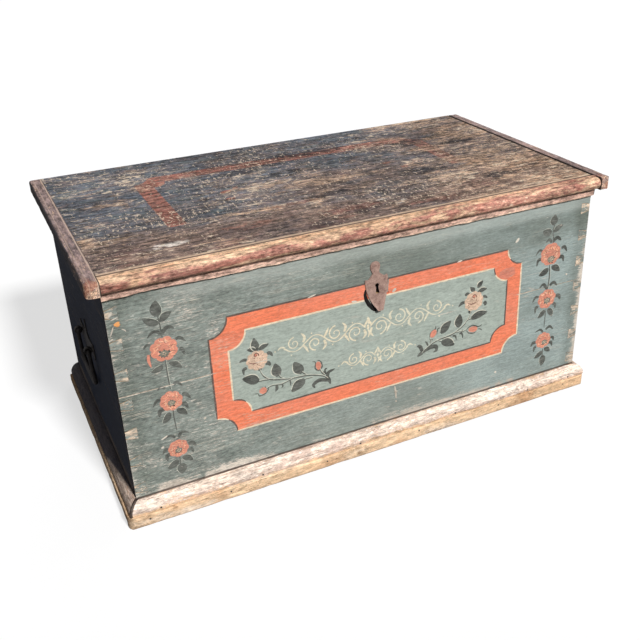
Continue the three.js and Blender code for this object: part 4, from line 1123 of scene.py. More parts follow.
# How much higher a brush stroke lies than the one before it, so that neighbours don't share a plane
HAIR = 0.0000015


def painted(name, plane, shapes, layer, material):
    """One piece of paint made of several shapes, each a list of cells."""
    def build(shape):
        for index, cells in enumerate(shapes):
            slab(shape, plane, cells, paint_layer(layer) + index % 30 * HAIR)
    return new_piece(name, mesh_from(name, build), material, plane.slot_name, plane.body)


def ribbon(points, widths):
    """A brush stroke along points, with a width at each, as a row of cells."""
    left, right = [], []
    for index, (u, v) in enumerate(points):
        before = points[max(index - 1, 0)]
        after = points[min(index + 1, len(points) - 1)]
        run = Vector((after[0] - before[0], after[1] - before[1]))
        side = Vector((-run.y, run.x)).normalized() * max(widths[index], 0.12) / 2
        left.append((u + side.x, v + side.y))
        right.append((u - side.x, v - side.y))
    return [[right[i], right[i + 1], left[i + 1], left[i]] for i in range(len(points) - 1)]


def curve_through(points, steps=6):
    """A smooth line through points, with its ends kept."""
    result = []
    for index in range(len(points) - 1):
        p0 = Vector(points[max(index - 1, 0)])
        p1, p2 = Vector(points[index]), Vector(points[index + 1])
        p3 = Vector(points[min(index + 2, len(points) - 1)])
        for step in range(steps):
            t = step / steps
            bend, twist = 2 * p0 - 5 * p1 + 4 * p2 - p3, 3 * p1 - p0 - 3 * p2 + p3
            place = 0.5 * (2 * p1 + (p2 - p0) * t + bend * t * t + twist * t ** 3)
            result.append((place.x, place.y))
    result.append(tuple(points[-1]))
    return result


def stroke(points, width, shape="comma", steps=6):
    """A brush stroke: a comma tails off, a stem keeps its width, a blade is fullest in the middle."""
    line = curve_through(points, steps)
    last = len(line) - 1
    widths = []
    for index in range(last + 1):
        t = index / last
        if shape == "comma":
            swell = 1.25 * math.sin(math.pi * min(t * 0.75 + 0.22, 1.0)) ** 0.8
        elif shape == "blade":
            swell = math.sin(math.pi * (t * 0.94 + 0.03)) ** 0.7
        else:
            swell = 1.0 - 0.35 * abs(2 * t - 1) ** 3
        widths.append(width * swell)
    return ribbon([wobbled(u, v, wander() * 0.5) for u, v in line], widths)


def points_of(numbers):
    """Pairs up u and v."""
    return list(zip(numbers[::2], numbers[1::2]))


def strokes(table, shape="comma"):
    """Brush strokes from rows of a width and the points."""
    return [stroke(points_of(numbers), width, shape) for width, *numbers in table]


def beside(table, du, dv, width):
    """Thin lines that follow the strokes of a table at a distance."""
    lines = [[(u + du, v + dv) for u, v in curve_through(points_of(numbers))] for _, *numbers in table]
    return [ribbon(line, [width] * len(line)) for line in lines]


def leaf_share(t):
    """How wide a leaf is along its length, fullest a little before the middle."""
    return 1.34 * math.sin(math.pi * t ** 0.82) ** 0.72


def leaf(u0, v0, u1, v1, width, bend=0.08):
    """A leaf from its foot to its point, with a slight bend, as a row of cells."""
    start_point, end_point = Vector((u0, v0)), Vector((u1, v1))
    run = end_point - start_point
    side = Vector((-run.y, run.x))
    line, widths = [], []
    steps = 12
    for step in range(steps + 1):
        t = step / steps
        place = start_point + run * t + side * bend * math.sin(math.pi * t)
        line.append(wobbled(place.x, place.y, wander() * 0.4))
        widths.append(width * leaf_share(t) if 0 < step < steps else 0.0)
    return ribbon(line, widths)


def leaf_edge(u0, v0, u1, v1, width, bend=0.08, side_sign=1.0, thickness=1.5):
    """The pale stroke beside a leaf."""
    start_point, end_point = Vector((u0, v0)), Vector((u1, v1))
    run = end_point - start_point
    across = Vector((-run.y, run.x))
    unit = across.normalized() * side_sign
    line, widths = [], []
    for step in range(1, 12):
        t = step / 12
        half = width * leaf_share(t) / 2 + 0.7
        place = start_point + run * t + across * bend * math.sin(math.pi * t) + unit * half
        line.append((place.x, place.y))
        widths.append(thickness * math.sin(math.pi * t) ** 0.5)
    return ribbon(line, widths)


def blob(u, v, radius_u, radius_v, turn=0.0, sides=18, rough=0.10):
    """A dab of paint with an uneven edge."""
    seed = bpy.context.scene.chest_ornament.seed
    across, up = (math.cos(turn), math.sin(turn)), (-math.sin(turn), math.cos(turn))
    points = []
    for index in range(sides):
        angle = 2 * math.pi * index / sides
        cosine, sine = math.cos(angle), math.sin(angle)
        grow = 1 + rough * noise.noise(Vector((cosine * 1.7, sine * 1.7, u * 0.37 + v * 0.11 + seed)))
        a, b = cosine * radius_u * grow, sine * radius_v * grow
        points.append((u + a * across[0] + b * up[0], v + a * across[1] + b * up[1]))
    return [points]


def hollow_cornered(left, right, low, high, notch, steps=10):
    """A rectangle whose corners are cut out in quarter circles, given from the lower left corner on."""
    points = []
    corners = (
        ((left, low), 90.0, 0.0),
        ((right, low), 180.0, 90.0),
        ((right, high), 270.0, 180.0),
        ((left, high), 360.0, 270.0),
    )
    for (u, v), from_angle, to_angle in corners:
        for step in range(steps + 1):
            angle = math.radians(from_angle + (to_angle - from_angle) * step / steps)
            points.append((u + notch * math.cos(angle), v + notch * math.sin(angle)))
    return points


def ring(outer, inner):
    """Cells between two outlines that have the same number of points."""
    count = len(outer)
    return [[outer[i], outer[(i + 1) % count], inner[(i + 1) % count], inner[i]] for i in range(count)]

# Places of the ornament in millimetres, from the front's middle and the floor or from the lid's middle.
# A leaf is its foot, tip and width, and in a spray its light side. A stroke is its width and its points.
# A rose is its middle, its radius and the shift of its heart. A blob is its middle, two radii and a turn.

LEFT_LEAVES = (
    (-489, 478, -490, 514, 17), (-489, 463, -521, 482, 12), (-487, 465, -461, 484, 12),
    (-493, 367, -519, 358, 10), (-481, 370, -455, 351, 10), (-494, 254, -511, 229, 11),
    (-479, 256, -457, 236, 11), (-489, 130, -515, 115, 12), (-481, 134, -458, 118, 11),
    (-486, 118, -486, 91, 16),
)
LEFT_COMMAS = (
    (6, -488, 436, -495, 445, -506, 446, -517, 436), (7, -487, 438, -478, 449, -469, 450, -461, 444),
    (6, -461, 420, -452, 421, -441, 410), (7, -456, 396, -450, 393, -447, 381),
    (5, -513, 419, -520, 421, -527, 414), (6, -513, 396, -521, 393, -526, 386),
    (6, -478, 316, -470, 320, -460, 309), (5, -496, 312, -504, 319, -512, 312),
    (6, -508, 288, -516, 289, -526, 276), (7, -463, 288, -455, 287, -446, 274),
    (8, -503, 264, -513, 262, -515, 248), (8, -466, 265, -459, 264, -454, 252),
    (6, -483, 186, -474, 197, -459, 191), (5, -489, 188, -500, 196, -514, 190),
    (8, -464, 163, -455, 163, -447, 153), (6, -507, 165, -514, 164, -521, 154),
    (8, -503, 148, -512, 148, -512, 134), (6, -464, 148, -458, 148, -455, 138),
)
LEFT_STEMS = (
    (2.6, -490, 480, -488, 455, -487, 430), (3.0, -487, 378, -487, 345, -485, 308),
    (2.8, -486, 258, -486, 235, -484, 205), (2.8, -486, 140, -486, 112),
)
RIGHT_LEAVES = (
    (485, 478, 486, 506, 17), (480, 462, 452, 469, 15), (484, 460, 513, 474, 11), (479, 366, 450, 351, 13),
    (487, 368, 515, 350, 13), (479, 250, 458, 230, 11), (488, 250, 504, 224, 12), (482, 128, 458, 112, 11),
    (488, 134, 508, 120, 11), (484, 115, 483, 82, 15),
)
RIGHT_COMMAS = (
    (6, 482, 434, 474, 443, 464, 437), (8, 486, 436, 498, 444, 511, 434), (5, 458, 414, 447, 420, 436, 408),
    (7, 514, 412, 524, 414, 532, 400), (7, 457, 394, 445, 394, 442, 378), (8, 508, 388, 520, 388, 524, 374),
    (7, 480, 308, 468, 323, 456, 315), (7, 488, 316, 500, 322, 511, 311), (6, 456, 291, 446, 292, 438, 280),
    (9, 510, 282, 520, 280, 525, 268), (7, 458, 262, 450, 262, 449, 246), (7, 502, 262, 510, 258, 512, 246),
    (5, 480, 184, 470, 194, 455, 190), (6, 488, 190, 500, 196, 512, 185), (7, 460, 158, 450, 160, 444, 150),
    (6, 506, 162, 514, 160, 517, 150), (7, 462, 146, 456, 144, 455, 132), (7, 502, 148, 510, 146, 513, 134),
)
RIGHT_STEMS = (
    (2.8, 486, 480, 483, 462, 487, 440, 485, 428), (3.2, 482, 374, 484, 340, 482, 306),
    (2.4, 483, 252, 482, 225, 482, 198), (3.0, 484, 134, 484, 110),
)
COLUMN_ROSES = (
    (-487, 404, 29, 0, -11), (-487, 280, 24.5, 0, -5), (-486, 159, 22.5, 0, -5), (482, 403, 31, 2, -14),
    (482, 280, 28, 2, -5), (483, 160, 24, 4, -6),
)

SPRAY_LEAVES = (
    (-292, 344, -297, 378, 14, 1), (-289, 346, -265, 355, 9, 1), (-295, 347, -315, 353, 9, -1),
    (-293, 268, -331, 286, 18, -1), (-247, 268, -254, 303, 18, 1), (-190, 260, -210, 294, 18, 1),
    (-185, 242, -220, 218, 18, -1), (269, 361, 284, 377, 10, 1), (262, 355, 248, 368, 9, 1),
    (270, 350, 297, 353, 9, 1), (220, 266, 222, 303, 17, 1), (170, 262, 197, 291, 17, 1),
    (252, 281, 302, 289, 15, 1), (170, 241, 209, 221, 17, 1),
)
SPRAY_COMMAS = (
    (6, -317, 329, -324, 331, -334, 328), (7, -271, 332, -264, 332, -258, 323),
    (6, -318, 310, -326, 307, -326, 295), (8, -276, 309, -269, 308, -265, 301),
    (6, 234, 349, 241, 352, 249, 348), (7, 234, 331, 225, 330, 217, 323), (6, 286, 335, 292, 333, 299, 328),
    (8, 289, 319, 294, 314, 292, 308), (7, -132, 228, -128, 243, -112, 248),
    (7, -131, 232, -127, 222, -124, 211), (8, -128, 222, -150, 229, -166, 222, -163, 212),
    (4, -135, 240, -137, 247, -144, 246), (4, -138, 246, -135, 254, -131, 253),
    (3, -222, 250, -221, 243, -222, 236), (3, -241, 247, -240, 241, -243, 236),
    (6, -254, 247, -254, 238, -258, 232), (8, 118, 228, 112, 243, 103, 246),
    (8, 120, 224, 112, 222, 105, 218), (9, 120, 226, 138, 233, 155, 232, 158, 221, 149, 218),
    (4, 134, 240, 130, 248, 126, 254), (3.5, 140, 246, 143, 253, 147, 253),
    (4, 203, 248, 211, 245, 214, 234), (4, 226, 250, 231, 244, 232, 234),
    (3.5, 222, 248, 228, 251, 231, 258), (6, 250, 308, 249, 301, 254, 297),
    (6, -291, 303, -288, 299, -294, 297),
)
SPRAY_STEMS = (
    (
        3.0, -291, 300, -284, 281, -270, 267, -250, 260, -222, 254, -200, 252, -178, 250, -156, 243, -140,
        236, -130, 226,
    ),
    (2.4, -294, 268, -282, 268, -270, 266), (2.6, -247, 270, -242, 262, -232, 256),
    (2.8, -192, 262, -186, 256, -181, 251), (2.2, -187, 242, -178, 242, -168, 241),
    (2.6, -278, 245, -264, 249, -245, 246, -228, 249, -212, 253), (2.8, -148, 257, -145, 248, -138, 239),
    (
        3.2, 252, 302, 247, 286, 236, 272, 222, 262, 206, 254, 186, 250, 164, 248, 144, 241, 126, 231,
        116, 222,
    ),
    (2.4, 254, 281, 248, 281, 243, 279), (2.4, 171, 241, 163, 245, 156, 246),
    (2.0, 242, 255, 232, 252, 222, 254, 212, 254), (2.4, 138, 258, 142, 250, 140, 244),
)
SPRAY_SEPALS = (
    (3.6, -166, 282, -159, 278, -160, 262, -150, 255, -143, 264, -147, 278, -155, 283),
    (3.4, -306, 240, -298, 238, -295, 232, -282, 234, -275, 241, -272, 249), (3.0, -288, 252, -286, 246),
    (2.6, -280, 252, -281, 246), (4.2, 154, 288, 153, 280, 141, 272, 138, 260),
    (3.4, 166, 280, 160, 278, 158, 264), (3.6, 240, 254, 248, 259, 260, 262, 274, 255, 284, 255, 287, 258),
    (3.2, 242, 253, 249, 244, 262, 240, 272, 243), (2.6, 276, 248, 283, 246, 288, 241),
)
SPRAY_BUDS = (
    (-152, 268, 6.5, 11.0, 0.12), (-286, 243, 9.0, 8.0, 0.0), (148, 269, 8.0, 10.5, -0.5),
    (261, 251, 13.0, 8.0, -0.15),
)
SPRAY_ROSES = ((-294, 322, 25, -2, 13), (260, 328, 27, 0, 12))
CHIPS = (
    (7, 372, 456, 382, 466), (2.6, -586, 458, -577, 478), (2.6, -580, 492, -566, 496),
    (2.4, -562, 470, -554, 462), (5, -583, 500, -576, 510), (3, -590, 448, -581, 452),
    (5, 43, 154, 47, 118), (3, 41, 140, 52, 137), (4, 44, 112, 49, 108), (7, 37, 406, 46, 413),
    (5, -66, 407, -52, 403), (5, -424, 213, -419, 217), (5, 536, 337, 541, 334), (6, 334, 105, 339, 108),
    (3, -170, 441, -150, 445), (4, 208, 441, 222, 443), (5, -522, 170, -516, 174),
    (4, -519, 192, -505, 198),
)
LID_BLOBS = (
    (-225, 12, 15, 9, 0.3), (-230, -38, 11, 8, 0.0), (-196, 30, 8, 6, 0.5), (206, 18, 13, 8, 0.2),
    (232, -30, 10, 7, 0.0),
)
LID_STROKES = (
    (7, -160, 47, -176, 40, -196, 36), (7, -300, -8, -284, -16, -262, -14),
    (6, -262, -32, -248, -42, -236, -56),
    (6, 240, -24, 252, -34, 270, -36), (4, -210, 24, -180, 8, -140, 2, -100, 8),
    (4, 150, 10, 180, 24, 214, 22),
    (6, -120, 24, -108, 34, -92, 36), (6, 120, -30, 140, -36, 160, -30),
)
KEYHOLE = (-3.0, 410.0)
INNER_NOTCH_SHARE = 0.93
KEY_PLATE_SHADOW = [
    (-32, 428), (-36, 416), (-34, 401), (-27, 386), (-16, 373), (-6, 366), (-2, 372), (-10, 381),
    (-20, 393), (-27, 408),
    (-30, 427),
]


def frame_sizes():
    """The front frame's half width, foot, head, width and notch in millimetres."""
    size = bpy.context.scene.chest_ornament
    return [v / MM for v in (size.half_width, size.low, size.high, size.band, size.notch)]


def frame_outlines():
    """The frame's outer and inner edge."""
    half, low, high, band, notch = frame_sizes()
    outer = hollow_cornered(-half, half, low, high, notch)
    inner = hollow_cornered(-half + band, half - band, low + band, high - band, notch * INNER_NOTCH_SHARE)
    return outer, inner


def matched(outer, inner, longest=14.0):
    """Both outlines with points added at the same places."""
    first, second = [], []
    count = len(outer)
    for index in range(count):
        a0, a1 = Vector(outer[index]), Vector(outer[(index + 1) % count])
        b0, b1 = Vector(inner[index]), Vector(inner[(index + 1) % count])
        parts = max(1, round((a1 - a0).length / longest))
        for step in range(parts):
            first.append(tuple(a0.lerp(a1, step / parts)))
            second.append(tuple(b0.lerp(b1, step / parts)))
    return first, second


def edge_line(outline, width, wanted):
    """Runs of a line along an outline, where the test of place and direction allows it."""
    runs, current = [], []
    count = len(outline)
    closed = [outline[i % count] for i in range(count + 1)]
    for (u0, v0), (u1, v1) in zip(closed, closed[1:]):
        run = Vector((u1 - u0, v1 - v0))
        if run.length < 1e-6:
            continue
        across = Vector((-run.y, run.x)).normalized()
        if wanted(-across.x, -across.y, (u0 + u1) / 2, (v0 + v1) / 2):
            if not current:
                current.append((u0, v0))
            current.append((u1, v1))
        elif current:
            runs.append(current)
            current = []
    if current:
        runs.append(current)
    shapes = []
    for points in runs:
        last = len(points) - 1
        line = [wobbled(u, v, wander() * 0.7) for u, v in points]
        widths = []
        for index, (u, v) in enumerate(line):
            taper = 0.55 + 0.45 * min(index, last - index, 2) / 2
            widths.append(width * taper * (1 + 0.25 * noise.noise(Vector((u * 0.05, v * 0.05, 4.0)))))
        shapes.append(ribbon(line, widths))
    return shapes


def spiral(u, v, radius, start_angle, turns, steps=22, inner=0.16):
    """Points of a curl that winds inwards."""
    points = []
    for step in range(steps + 1):
        t = step / steps
        angle = start_angle + turns * 2 * math.pi * t
        reach = radius * (1 - (1 - inner) * t ** 0.8)
        points.append((u + reach * math.cos(angle), v + reach * math.sin(angle)))
    return points


def curl(u, v, radius, start_angle, turns, width):
    """A spiral brush stroke that thins towards its middle."""
    points = spiral(u, v, radius, start_angle, turns)
    last = len(points) - 1
    return ribbon(points, [width * (1 - 0.55 * i / last) for i in range(last + 1)])


def flourish(middle, height, reach, tall, width, curls):
    """A running scroll in both directions from its middle: a waved spine with a curl in every bend."""
    shapes = []
    for sign in (-1, 1):
        spine = []
        steps = curls * 10
        for step in range(steps + 1):
            t = step / steps
            swing = math.sin(math.pi * t * curls) * tall * 0.30 * (1 - 0.25 * t)
            spine.append((middle + sign * (6 + (reach - 6) * t), height + swing))
        swells = [0.5 + 0.5 * abs(math.cos(math.pi * i / steps * curls)) for i in range(steps + 1)]
        shapes.append(
            ribbon([wobbled(u, v, wander()) for u, v in spine], [width * swell for swell in swells])
        )
        pitch = (reach - 6) / curls
        for index in range(curls):
            side = 1 if index % 2 else -1
            u = middle + sign * (6 + pitch * (index + 0.5))
            radius, centre = tall * 0.36 * (1 - 0.07 * index), height + side * tall * 0.10
            shapes.append(curl(u, centre, radius, math.pi / 2 * side, -sign * side * 1.35, width * 1.1))
            tip = side * tall * 0.47
            rising = ((0.42, side * 4), (0.50, tip * 0.6), (0.34, tip))
            falling = ((0.42, -side * 3), (0.56, -tip * 0.5), (0.66, -tip * 0.9))
            for leaflet, fullness in ((rising, 1.5), (falling, 1.3)):
                points = [(u - sign * pitch * back, height + rise) for back, rise in leaflet]
                shapes.append(stroke(points, width * fullness))
            dot = width * 0.55
            shapes.append(blob(u + sign * pitch * 0.16, height - side * tall * 0.36, dot, dot, sides=10))
        end = middle + sign * reach
        tail = [(end + sign * away, height + rise) for away, rise in ((-4, 0), (6, 5), (14, -1))]
        shapes.append(stroke(tail, width))
        shapes.append(blob(end + sign * 20, height - 2, width * 0.6, width * 0.6, sides=10))
    shapes.append(blob(middle, height, width * 1.0, width * 1.9, sides=12))
    for side in (-1, 1):
        spike = [
            (middle, height + side * 6), (middle + 3, height + side * tall * 0.28),
            (middle, height + side * tall * 0.46),
        ]
        shapes.append(stroke(spike, width * 1.3, "blade"))
    return shapes


# Worn mouldings, strips, cleats and forged bails


def swept_curve(start_point, control, end_point, steps=7):
    """Points of a bent stretch of a profile, without its first."""
    points = []
    for step in range(1, steps + 1):
        t = step / steps
        weights = (1 - t) ** 2, 2 * t * (1 - t), t * t
        points.append(tuple(
            sum(weight * place for weight, place in zip(weights, places))
            for places in zip(start_point, control, end_point)
        ))
    return points


def with_dents(points, sheltered):
    """Gives each point of a profile its share of the dents: none within the sheltered reach."""
    return [(reach, height, 0.0 if reach <= sheltered else 1.0) for reach, height in points]


def closely(points, longest=4.0):
    """Adds points along the straight runs of a profile."""
    result = []
    for (r0, h0), (r1, h1) in zip(points, points[1:] + points[:1]):
        parts = max(1, math.ceil(math.hypot(r1 - r0, h1 - h0) / longest))
        result.extend((r0 + (r1 - r0) * i / parts, h0 + (h1 - h0) * i / parts) for i in range(parts))
    return result


def dent(run, reach, height, salt):
    """How deep a knock is at a place on a moulding, from 0 to 1."""
    broad = noise.noise(Vector((run * 0.021, reach * 0.035, height * 0.035 + salt)))
    small = noise.noise(Vector((run * 0.083, reach * 0.09, height * 0.09 + salt + 9.0)))
    return min(0.55 * max(broad, 0.0) + 0.75 * max(small - 0.22, 0.0), 1.0)


def stations(run_from, run_to, spacing, fine_ends):
    """Shares of a run at which the profile is placed, closer together at rounded ends."""
    total = abs(run_to - run_from)
    count = max(2, round(total / spacing))
    shares = {round(step / count, 5) for step in range(count + 1)}
    if fine_ends:
        for distance in (0.4, 1.2, 2.5, 4.5, 7.0, 10.0, 13.0, 16.0):
            shares.add(round(distance / total, 5))
            shares.add(round(1 - distance / total, 5))
    return sorted(shares)


def worn_run(
    name, profile, run_from, run_to, place, mitres=(0.0, 0.0), limit=None, knocks=1.0, salt=0.0,
    spacing=8.0,
):
    """A profile swept along its run and dented on its open side; limit trims it near rounded ends."""
    depth = bpy.context.scene.chest_wear.knocks / MM * knocks
    count = len(profile)

    def build(shape):
        rows = []
        for share_along in stations(run_from, run_to, spacing, limit is not None):
            row = []
            for index, (reach, height, open_share) in enumerate(profile):
                begin = run_from + mitres[0] * reach
                finish = run_to + mitres[1] * reach
                run = begin + (finish - begin) * share_along
                before, after = profile[index - 1], profile[(index + 1) % count]
                along = Vector((after[0] - before[0], after[1] - before[1])).normalized()
                depth_here = depth * open_share * dent(run, reach, height, salt)
                reach_here, height_here = reach + along.y * depth_here, height - along.x * depth_here
                if limit is not None:
                    reach_here, height_here = limit(run, reach_here, height_here)
                row.append(shape.verts.new(place(run, reach_here, height_here)))
            rows.append(row)
        loft(shape, rows)

    return mesh_from(name, build, sharp_over=42)


def on_front(run, reach, height):
    return Vector((run * MM, FRONT_Y - reach * MM, height * MM))


def on_left(run, reach, height):
    return Vector((LEFT_X - reach * MM, run * MM, height * MM))


def on_right(run, reach, height):
    return Vector((RIGHT_X + reach * MM, run * MM, height * MM))


def rounded_corner(run, run_end, radius, full):
    """The furthest reach near an end whose corner is rounded in plan."""
    away = abs(run_end - run)
    if away >= radius:
        return full
    return full - radius + math.sqrt(max(radius ** 2 - (radius - away) ** 2, 0.0))


# Profiles in millimetres: how far a point stands out from the wall, and its height
GAP = 0.3
MOULDING_HEIGHT, MOULDING_FOOT, MOULDING_REACH = 62, 33.4, 22
STRIP_HEIGHT, STRIP_REACH = 32, 27
LID_THICKNESS = 27
CLEAT_REACH, CLEAT_DROP = 29, 3


def moulding_profile():
    """The plinth's moulding: a hollow slope over a flat fillet."""
    high, foot, out = MOULDING_HEIGHT, MOULDING_FOOT, MOULDING_REACH
    points = [(GAP, high), (3, high)]
    points += swept_curve((3, high), (17.5, 57.5), (out, 40.4))
    points += [(out, foot), (GAP, foot)]
    return with_dents(closely(points), 1.5)


def strip_profile():
    """The base strip: square at the back, rounded in front and most at the floor."""
    high, out = STRIP_HEIGHT, STRIP_REACH
    points = [(GAP, high), (out - 5, high)] + swept_curve((out - 5, high), (out, high), (out, high - 5), 4)
    points += [(out, 10)] + swept_curve((out, 10), (out, 0), (out - 10, 0), 5) + [(GAP, 0)]
    profile = with_dents(closely(points, 5.0), 1.5)
    return [
        (reach, height, share_open * (0.0 if height < 1.0 else 1.0))
        for reach, height, share_open in profile
    ]


def nosing_profile():
    """The lid's front moulding: a half round under a step, and a lip that hangs over the front."""
    crest, middle, out, low = 25.4, 13.2, 27.6, -3
    points = [(GAP, LID_THICKNESS), (8, LID_THICKNESS), (8, crest)]
    points += swept_curve((8, crest), (out, crest), (out, middle))
    points += swept_curve((out, middle), (out, low), (11.6, low))
    points += [(11.6, -4.6), (10, -4.6), (8, -25), (1.5, -25), (1.5, -GAP), (GAP, -GAP)]
    return with_dents(closely(points, 3.5), 1.6)


def cleat_profile():
    """A lid cleat: rounded on its outer edge, above more than below."""
    high, out, low = LID_THICKNESS, CLEAT_REACH, -CLEAT_DROP
    points = [(0, high), (out - 7, high)] + swept_curve((out - 7, high), (out, high), (out, high - 7), 5)
    points += [(out, 0)] + swept_curve((out, 0), (out, low), (out + low, low), 3) + [(0, low)]
    return with_dents(closely(points), 1.0)


def nosing_mesh(name):
    """The lid's front moulding, with its lower lip worn away, most near the left end."""
    underside = LID_Z / MM - LID_THICKNESS
    lip_height, half_run = -18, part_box("lid_front_moulding")[1].x / MM
    loss, unevenness, left_loss, left_place, left_spread = 2.8, 1.7, 3.2, -480, 75

    def ragged(run, reach, height):
        if height < lip_height:
            height += loss + unevenness * noise.noise(Vector((run * 0.028, 3.0, 8.0)))
            height += left_loss * math.exp(-(((run - left_place) / left_spread) ** 2))
        return reach, height

    def place(run, reach, height):
        return on_front(run, reach, underside + height)

    return worn_run(
        name, nosing_profile(), -half_run, half_run, place, limit=ragged, knocks=0.8, salt=2.0,
        spacing=6.0,
    )


def cleat_mesh(name, side):
    """A lid cleat whose front corner is rounded in plan and on top."""
    box_low, box_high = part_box(name)
    front, back = box_low.y / MM, box_high.y / MM
    inner = box_low.x / MM if side > 0 else -box_high.x / MM
    underside = LID_Z / MM - LID_THICKNESS
    plan_radius, top_radius = 11.0, 5.0

    def trimmed(run, reach, height):
        reach = min(reach, rounded_corner(run, front, plan_radius, CLEAT_REACH))
        height = min(height, rounded_corner(run, front, top_radius, LID_THICKNESS))
        return reach, height

    def place(run, reach, height):
        return Vector((side * (inner + reach) * MM, run * MM, (underside + height) * MM))

    return worn_run(name, cleat_profile(), front, back, place, limit=trimmed, knocks=0.9, salt=4.0 + side)


def base_front_mesh(name):
    """The front base strip, with both ends rounded in plan."""
    half_run, plan_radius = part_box("base_front_strip")[1].x / MM, 22.0

    def trimmed(run, reach, height):
        end = math.copysign(half_run, run)
        return min(reach, rounded_corner(run, end, plan_radius, STRIP_REACH)), height

    return worn_run(name, strip_profile(), -half_run, half_run, on_front, limit=trimmed, salt=6.0)


class Bail:
    """The swinging handle at one end, drawn about its axis."""

    # In millimetres: the reach down, the bar's radius at limbs and grip, the knob's radius and length
    drop, thin, grip, knob, knob_length = 88.0, 4.6, 7.0, 6.8, 7.0
    # From the middle to a limb and to a knob's end, the bends' radii above and below, and the lean outwards
    limb, shoulder, corner, end, lean = 69.0, 13.0, 26.0, 44.0, 4.0
    spacing = 2.2

    def __init__(self, side):
        self.side = side
        word = "right" if side > 0 else "left"
        front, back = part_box(word + "_handle_front_eye"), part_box(word + "_handle_back_eye")
        radius = (front[1].z - front[0].z) / 2
        outer = front[1].x - radius if side > 0 else front[0].x + radius
        self.axis = Vector((outer, (front[0].y + back[1].y) / 2, (front[0].z + front[1].z) / 2))

    def path(self):
        """Points a few millimetres apart from one knob to the other."""
        limb, low = self.limb, -self.drop
        half = [(self.end, 0.0), (limb - self.shoulder, 0.0)]
        half += swept_curve((limb - self.shoulder, 0.0), (limb, 0.0), (limb, -self.shoulder), 8)
        half += [(limb, low + self.corner)]
        half += swept_curve((limb, low + self.corner), (limb, low), (limb - self.corner, low), 10)
        line = half + [(-y, z) for y, z in reversed(half)]
        result = [line[0]]
        for first, second in zip(line, line[1:]):
            across, rise = second[0] - first[0], second[1] - first[1]
            parts = max(1, round(math.hypot(across, rise) / self.spacing))
            for step in range(1, parts + 1):
                result.append((first[0] + across * step / parts, first[1] + rise * step / parts))
        return [Vector((-self.side * self.lean * (z / self.drop) ** 2, y, z)) for y, z in result]

    def radius_at(self, along, whole):
        """The bar's radius at a distance along its whole length."""
        from_end = min(along, whole - along)
        if from_end < self.knob_length:
            rise = from_end / self.knob_length
            ball = self.knob * math.sqrt(max(1 - (2 * rise - 1) ** 2, 0.0))
            return max(self.thin * 0.55, ball, self.thin * min(rise * 2, 1.0))
        swell = max(1 - abs(along - whole / 2) / (whole * 0.3), 0.0)
        return self.thin + (self.grip - self.thin) * swell * swell * (3 - 2 * swell)

    def mesh(self, name, sides=18):
        line = self.path()
        travelled = [0.0]
        for first, second in zip(line, line[1:]):
            travelled.append(travelled[-1] + (second - first).length)

        def build(shape):
            rows = []
            for index, centre in enumerate(line):
                ahead = line[min(index + 1, len(line) - 1)] - line[max(index - 1, 0)]
                across = ahead.normalized().cross(Vector((1, 0, 0))).normalized()
                outwards = across.cross(ahead.normalized()).normalized()
                radius = self.radius_at(travelled[index], travelled[-1])
                row = []
                for turn in range(sides):
                    angle = 2 * math.pi * turn / sides
                    spoke = across * math.cos(angle) + outwards * math.sin(angle)
                    hammered = 1 - 0.09 * max(noise.noise(centre * 0.09 + spoke * 0.9), 0.0)
                    row.append(shape.verts.new(self.axis + (centre + spoke * radius * hammered) * MM))
                rows.append(row)
            loft(shape, rows)

        return mesh_from(name, build, sharp_over=55)


# Geometry trees for what repeats


def new_tree(name, inputs):
    """A geometry tree with a Geometry socket at each end and the named inputs."""
    tree = bpy.data.node_groups.new(name, "GeometryNodeTree")
    face = tree.interface
    face.new_socket("Geometry", in_out="INPUT", socket_type="NodeSocketGeometry")
    for label, kind, default in inputs:
        socket = face.new_socket(label, in_out="INPUT", socket_type=kind)
        if default is not None:
            socket.default_value = default
    face.new_socket("Geometry", in_out="OUTPUT", socket_type="NodeSocketGeometry")
    bench = Bench(tree)
    return tree, bench, bench.outs("NodeGroupInput"), bench.node("NodeGroupOutput").inputs


def random_value(bench, low, high, seed):
    """A value for each point between two limits."""
    return bench.out("FunctionNodeRandomValue", {2: low, 3: high, "Seed": seed}, 1, data_type="FLOAT")


def triple(bench, x, y, z):
    """Three values as one vector."""
    return bench.out("ShaderNodeCombineXYZ", {0: x, 1: y, 2: z})


